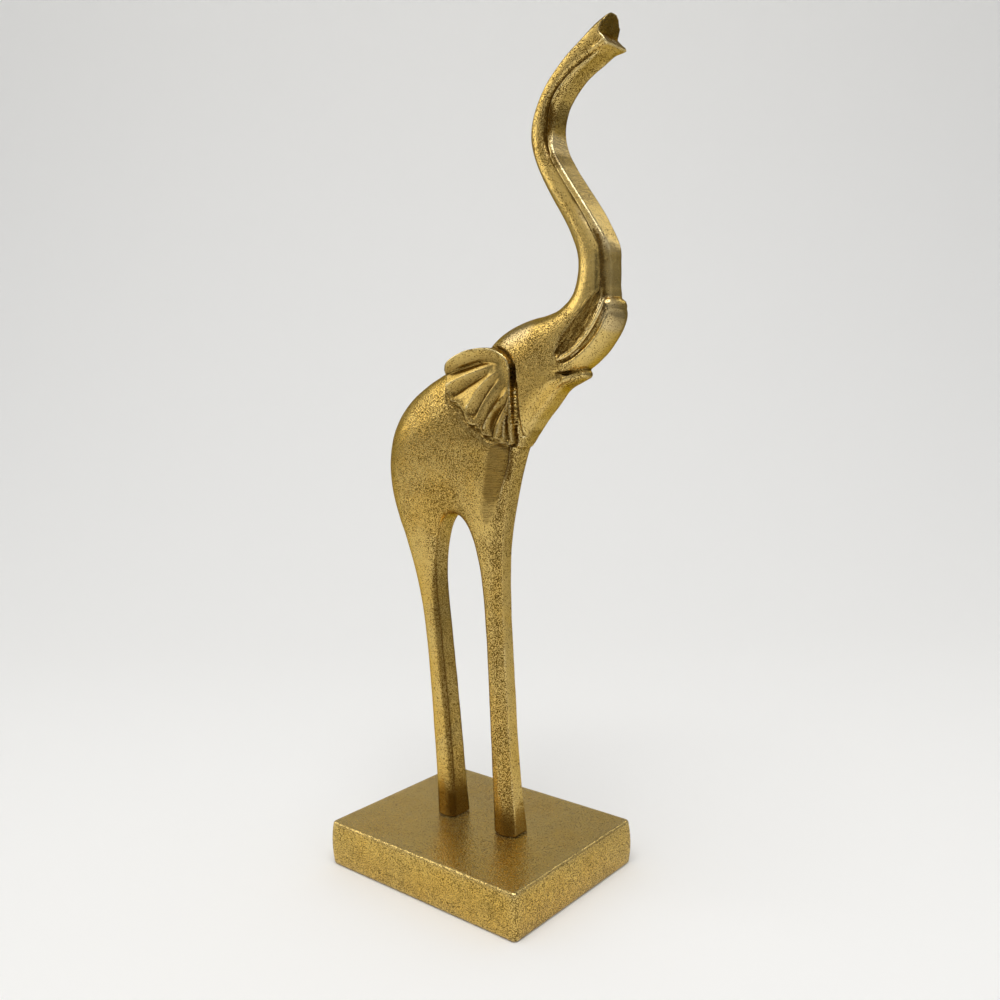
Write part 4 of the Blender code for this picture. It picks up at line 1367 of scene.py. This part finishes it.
@dataclass(frozen=True)
class Gilt:
    """Gilt lacquer over a sand casting, as both pieces have it."""

    gold: tuple
    warm: tuple
    # colours of the pits and the painted shade, and of rubbed edges with their painted highlight
    shade: tuple
    bright: tuple
    # over the whole, in the pits, and where it is smoothest
    roughness: float
    pit_roughness: float
    smooth_roughness: float
    bump: float
    bump_strength: float = 0.8

    def coat(self, n: Nodes, shader: bpy.types.Node, crowd: object, smooth: object,
             relief: object, **colour: object) -> None:
        """Feed the shader with the grain, the colour, the roughness and the height.

        Args:
            n: the material's node helper.
            shader: the material's shader.
            crowd: how crowded the pits are.
            smooth: where the coat is smoothest.
            relief: height added to the grain's.
            colour: Gold, Warm, the painted shade, and the wear with its painted highlight, of the
                gilding.
        """
        place = n.add("ShaderNodeTexCoord").outputs["Object"]
        grain = n.group(Shared.sand_grain(), Place=place, Crowding=crowd)
        pits = grain.outputs["Pits"]
        gilded = n.group(Shared.gilding(), Place=place, Shade=self.shade, Bright=self.bright,
                         Pits=pits, **colour)
        n.put(shader.inputs["Metallic"], 1.0)
        n.put(shader.inputs["Base Color"], gilded.outputs[0])
        rough = n.span(pits, 0.0, 1.0, self.roughness, self.pit_roughness)
        n.put(shader.inputs["Roughness"], n.math('SUBTRACT', rough, n.math(
            'MULTIPLY', smooth, self.roughness - self.smooth_roughness)))
        bump = n.add("ShaderNodeBump")
        n.put(bump.inputs["Strength"], self.bump_strength)
        n.put(bump.inputs["Distance"], self.bump)
        n.put(bump.inputs["Height"], n.math('ADD', grain.outputs["Height"], relief))
        n.put(shader.inputs["Normal"], bump.outputs[0])


@dataclass(frozen=True)
class GiltCast(Gilt):
    """Pitted on the animal, rubbed and painted bright on its edges, painted shade in its hollows,
    and a painted pale sheen.
    """

    gold: tuple = (0.66, 0.466, 0.145, 1.0)
    warm: tuple = (0.665, 0.442, 0.112, 1.0)
    # colour of the pits, and of the painted shade in hollows
    shade: tuple = (0.090, 0.042, 0.004, 1.0)
    # colour of rubbed edges and of the painted highlight on crests
    bright: tuple = (0.86, 0.72, 0.38, 1.0)
    # tint painted where the metal shows pale reflections
    pale: tuple = (0.62, 0.51, 0.31, 1.0)
    rim: tuple = (0.60, 0.465, 0.20, 1.0)
    roughness: float = 0.27
    pit_roughness: float = 0.5
    smooth_roughness: float = 0.21
    crowding: float = 0.42
    bump: float = 0.00022
    # how much each kind of patch smooths the grain, crowds its pits, cuts it or paints shade on it
    polish_smooths: float = 0.75
    wear_smooths: float = 0.8
    pitting_crowds: float = 0.45
    sinking_crowds: float = 0.35
    cut_height: float = 0.8
    dark_shades: float = 0.9
    sinking_shades: float = 0.75
    # the scratches in the hollow run downwards and back, and lighten its painted shade
    hatch_turn: float = 0.9
    hatch_fineness: float = 0.7
    hatch_shine: float = 0.34

    def material(self) -> bpy.types.Material:
        """Build the finish."""
        made, n, shader = new_material("gilt_cast")
        n.put(shader.inputs["Specular Tint"], self.rim)
        place = n.add("ShaderNodeTexCoord").outputs["Object"]
        worn, sunk, brushed, bare, hatched, pitted, dark, polished = (
            n.value_of(k) for k in ("worn", "sunk", "brushed", "bare", "hatched", "pitted",
                                    "dark", "polished"))
        smooth = n.math('MAXIMUM', n.math('MULTIPLY', polished, self.polish_smooths), n.math(
            'MAXIMUM', n.math('MULTIPLY', worn, self.wear_smooths), brushed))
        rough = n.math('ADD', n.math('MULTIPLY', pitted, self.pitting_crowds),
                       n.math('MULTIPLY', sunk, self.sinking_crowds))
        crowd = n.math('SUBTRACT', n.math('ADD', self.crowding, rough), smooth)
        strokes = n.group(Shared.brush_lines(), Place=place, Share=brushed, Fineness=1.0)
        aslant = n.turned(place, "Rotation", (0.0, self.hatch_turn, 0.0))
        hatches = n.group(Shared.brush_lines(), Place=aslant, Share=hatched,
                          Fineness=self.hatch_fineness).outputs[0]
        cut = n.math('MAXIMUM', strokes.outputs[0], hatches)
        cut = n.math('MULTIPLY', cut, self.cut_height)
        # painted shade: the dark patches and the creases and dips, lightened where the scratches
        # run
        hollow = n.math('MAXIMUM', n.math('MULTIPLY', dark, self.dark_shades), n.math(
            'MULTIPLY', sunk, self.sinking_shades), True)
        hollow = n.math('SUBTRACT', hollow, n.math('MULTIPLY', hatches, self.hatch_shine), True)
        # a pale tint painted where the metal shows pale reflections
        self.coat(n, shader, crowd, polished, cut, Gold=n.mix(bare, self.gold, self.pale),
                  Warm=n.mix(bare, self.warm, self.pale), Sunk=hollow, Worn=worn)
        return made


@dataclass(frozen=True)
class GiltPlate(Gilt):
    """Smoother and more even on the foot plate, with an orange-peel top."""

    gold: tuple = (0.69, 0.47, 0.115, 1.0)
    warm: tuple = (0.70, 0.455, 0.095, 1.0)
    # colour of the pits
    shade: tuple = (0.125, 0.074, 0.010, 1.0)
    # colour of rubbed edges, partly a painted highlight
    bright: tuple = (0.90, 0.76, 0.42, 1.0)
    roughness: float = 0.27
    pit_roughness: float = 0.47
    smooth_roughness: float = 0.17
    crowding: float = 0.44
    top_crowding: float = 0.22
    bump: float = 0.00016
    peel_size: float = 950.0
    peel_height: float = 2.2

    def material(self) -> bpy.types.Material:
        """Build the finish."""
        made, n, shader = new_material("gilt_plate")
        place = n.add("ShaderNodeTexCoord").outputs["Object"]
        topside = n.value_of("topside")
        crowd = n.math('SUBTRACT', self.crowding, n.math(
            'MULTIPLY', topside, self.crowding - self.top_crowding))
        peel = n.math('MULTIPLY', n.noise(place, self.peel_size, 1.0), self.peel_height)
        self.coat(n, shader, crowd, topside, peel, Gold=self.gold, Warm=self.warm, Sunk=0.0,
                  Worn=n.value_of("worn"))
        return made


# ---------------------------------------------------------------- the studio

@dataclass(frozen=True)
class Lamp:
    """Square soft light, with its places and side in metres and its power in watts."""

    name: str
    place: tuple
    aim: tuple
    size: float
    power: float
    colour: tuple
    # whether it shows in the metal and leaves the paper alone
    only_metal: bool = False

    def hang(self) -> None:
        """Hang the light, facing its aim."""
        data = bpy.data.lights.new(self.name, 'AREA')
        data.shape = 'SQUARE'
        data.size, data.energy, data.color = self.size, self.power, self.colour
        made = bpy.data.objects.new(self.name, data)
        made.location = self.place
        made.rotation_mode = 'QUATERNION'
        away = Vector(self.place) - Vector(self.aim)
        made.rotation_quaternion = away.to_track_quat('Z', 'Y')
        made.visible_camera = False
        made.visible_diffuse = not self.only_metal
        bpy.context.scene.collection.objects.link(made)


@dataclass
class Studio:
    """Pale floor that sweeps up into a backdrop, soft lights, and the camera."""

    eye: tuple = (0.33347, -0.37641, 0.25449)
    azimuth: float = 39.874
    elevation: float = 6.051
    roll: float = -1.198
    lens: float = 34.298
    sweep_start: float = 0.45
    sweep_radius: float = 1.0
    sweep_steps: int = 24
    floor_half: float = 4.0
    wall_height: float = 3.2
    paper: tuple = (0.922, 0.915, 0.892, 1.0)
    shaded_paper: tuple = (0.54, 0.535, 0.515, 1.0)
    deep_paper: tuple = (0.32, 0.315, 0.30, 1.0)
    shaded_way: tuple = (0.17, 0.985, 0.0)
    # where the metal sees shade, in metres: along that way with its share, up the wall, far off
    table_shade: tuple = ((0.0, 0.2, 0.35), (0.2, 1.2, 0.6))
    wall_shade: tuple = (0.02, 0.2)
    deep_shade: tuple = (0.7, 1.7)
    # room light: strength level with the floor and overhead, and how much more comes from one side
    low_light: float = 0.26
    high_light: float = 0.56
    light_rise: tuple = (0.02, 0.45)
    side_share: float = 0.20
    bright_side: tuple = (0.5, -0.86, 0.0)
    card_place: tuple = (0.50, -1.93, 0.46)
    card_half: tuple = (0.40, 0.42)
    card_colour: tuple = (0.06, 0.06, 0.06, 1.0)
    paper_roughness: float = 0.9
    paper_shine: float = 0.1
    room_colour: tuple = (0.97, 0.98, 1.0, 1.0)
    lamps: tuple = (
        Lamp("overhead", (0.35, -0.5, 1.7), (0.05, 0.0, 0.1), 1.2, 16.6, (1.0, 0.99, 0.98)),
        Lamp("left", (-1.13, -0.70, 0.86), (0.0, 0.0, 0.2), 0.95, 4.7, (1.0, 0.98, 0.96), True),
        Lamp("behind", (0.27, 1.10, 0.93), (0.0, 0.0, 0.3), 0.5, 1.15, (1.0, 0.99, 0.97), True))

    def camera(self) -> None:
        """Place the camera by its azimuth, elevation and roll."""
        az, el, roll = (math.radians(v) for v in (self.azimuth, self.elevation, self.roll))
        back = Vector((math.sin(az) * math.cos(el), -math.cos(az) * math.cos(el), math.sin(el)))
        right = Vector((math.cos(az), math.sin(az), 0.0))
        up = back.cross(right)
        turned = right * math.cos(roll) + up * math.sin(roll)
        raised = up * math.cos(roll) - right * math.sin(roll)
        data = bpy.data.cameras.new("camera")
        data.lens = self.lens
        data.sensor_width = 36.0
        made = bpy.data.objects.new("camera", data)
        made.matrix_world = Matrix((
            (turned.x, raised.x, back.x, self.eye[0]), (turned.y, raised.y, back.y, self.eye[1]),
            (turned.z, raised.z, back.z, self.eye[2]), (0.0, 0.0, 0.0, 1.0)))
        bpy.context.scene.collection.objects.link(made)
        bpy.context.scene.camera = made

    def paper_finish(self) -> bpy.types.Material:
        """Pale paper; as the metal sees it, the wall and the table to the right are in shade."""
        made, n, shader = new_material("paper")
        place = n.add("ShaderNodeTexCoord").outputs["Object"]
        height, away = n.height_of(place), n.along(place, self.shaded_way)
        mirrored = n.add("ShaderNodeLightPath").outputs["Is Glossy Ray"]
        table = n.math('ADD', *(n.span(away, start, stop, 0.0, share)
                                for start, stop, share in self.table_shade))
        wall = n.span(height, *self.wall_shade)
        shaded = n.math('MULTIPLY', mirrored, n.math('MAXIMUM', table, wall))
        deep = n.math('MULTIPLY', mirrored, n.span(away, *self.deep_shade))
        seen = n.mix(deep, n.mix(shaded, self.paper, self.shaded_paper), self.deep_paper)
        n.put(shader.inputs["Base Color"], seen)
        n.put(shader.inputs["Roughness"], self.paper_roughness)
        n.put(shader.inputs["Specular IOR Level"], self.paper_shine)
        return made

    def floor(self) -> None:
        """Lay the floor and its sweep, turned to face the camera."""
        profile = [(-self.floor_half, 0.0), (self.sweep_start, 0.0)]
        for k in range(1, self.sweep_steps + 1):
            angle = math.radians(90.0 * k / self.sweep_steps)
            profile.append((self.sweep_start + self.sweep_radius * math.sin(angle),
                            self.sweep_radius * (1 - math.cos(angle))))
        profile.append((self.sweep_start + self.sweep_radius, self.wall_height))
        turn = math.radians(self.azimuth)
        away = np.array((-math.sin(turn), math.cos(turn), 0.0))
        along = np.array((math.cos(turn), math.sin(turn), 0.0))
        points = [away * depth + along * side + np.array((0.0, 0.0, z)) for depth, z in profile
                  for side in (-self.floor_half, self.floor_half)]
        faces = [(k, k + 1, k + 3, k + 2) for k in range(0, len(points) - 2, 2)]
        made = mesh_object("floor", points, faces, 1.0)
        made.data.materials.append(self.paper_finish())

    def card(self) -> None:
        """Stand a dark card beside the camera, seen only by the metal."""
        middle = Vector(self.card_place)
        side = Vector((0.0, 0.0, 1.0)).cross(middle).normalized() * self.card_half[0]
        rise = Vector((0.0, 0.0, self.card_half[1]))
        made = mesh_object("card", [middle - side - rise, middle + side - rise,
                                    middle + side + rise, middle - side + rise],
                           [(0, 1, 2, 3)], 1.0)
        dark, n, shader = new_material("card")
        n.put(shader.inputs["Base Color"], self.card_colour)
        n.put(shader.inputs["Roughness"], self.paper_roughness)
        made.data.materials.append(dark)
        made.visible_camera = made.visible_diffuse = made.visible_shadow = False

    def room(self) -> None:
        """Light the room: dim level with the floor, brighter above and to one side."""
        world = bpy.data.worlds.new("room")
        world.use_nodes = True
        n, shade = Nodes(world.node_tree), world.node_tree.nodes["Background"]
        way = n.add("ShaderNodeTexCoord").outputs["Generated"]
        rise = n.span(n.height_of(way), *self.light_rise, self.low_light, self.high_light, True)
        more = n.math('MULTIPLY', n.along(way, self.bright_side), self.side_share)
        n.put(shade.inputs["Color"], self.room_colour)
        n.put(shade.inputs["Strength"], n.math('MULTIPLY', rise, n.math('ADD', 1.0, more)))
        bpy.context.scene.world = world

    def build(self) -> None:
        """Set up the whole studio."""
        self.camera()
        self.floor()
        self.room()
        for lamp in self.lamps:
            lamp.hang()
        self.card()
        bpy.context.scene.view_settings.view_transform = 'Standard'


def main() -> None:
    """Build the pieces and the studio."""
    logging.basicConfig(level=logging.INFO, format="%(name)s %(message)s", stream=sys.stdout)
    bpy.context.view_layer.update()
    Elephant().build()
    Plate().build()
    Studio().build()


if __name__ == "__main__":
    main()
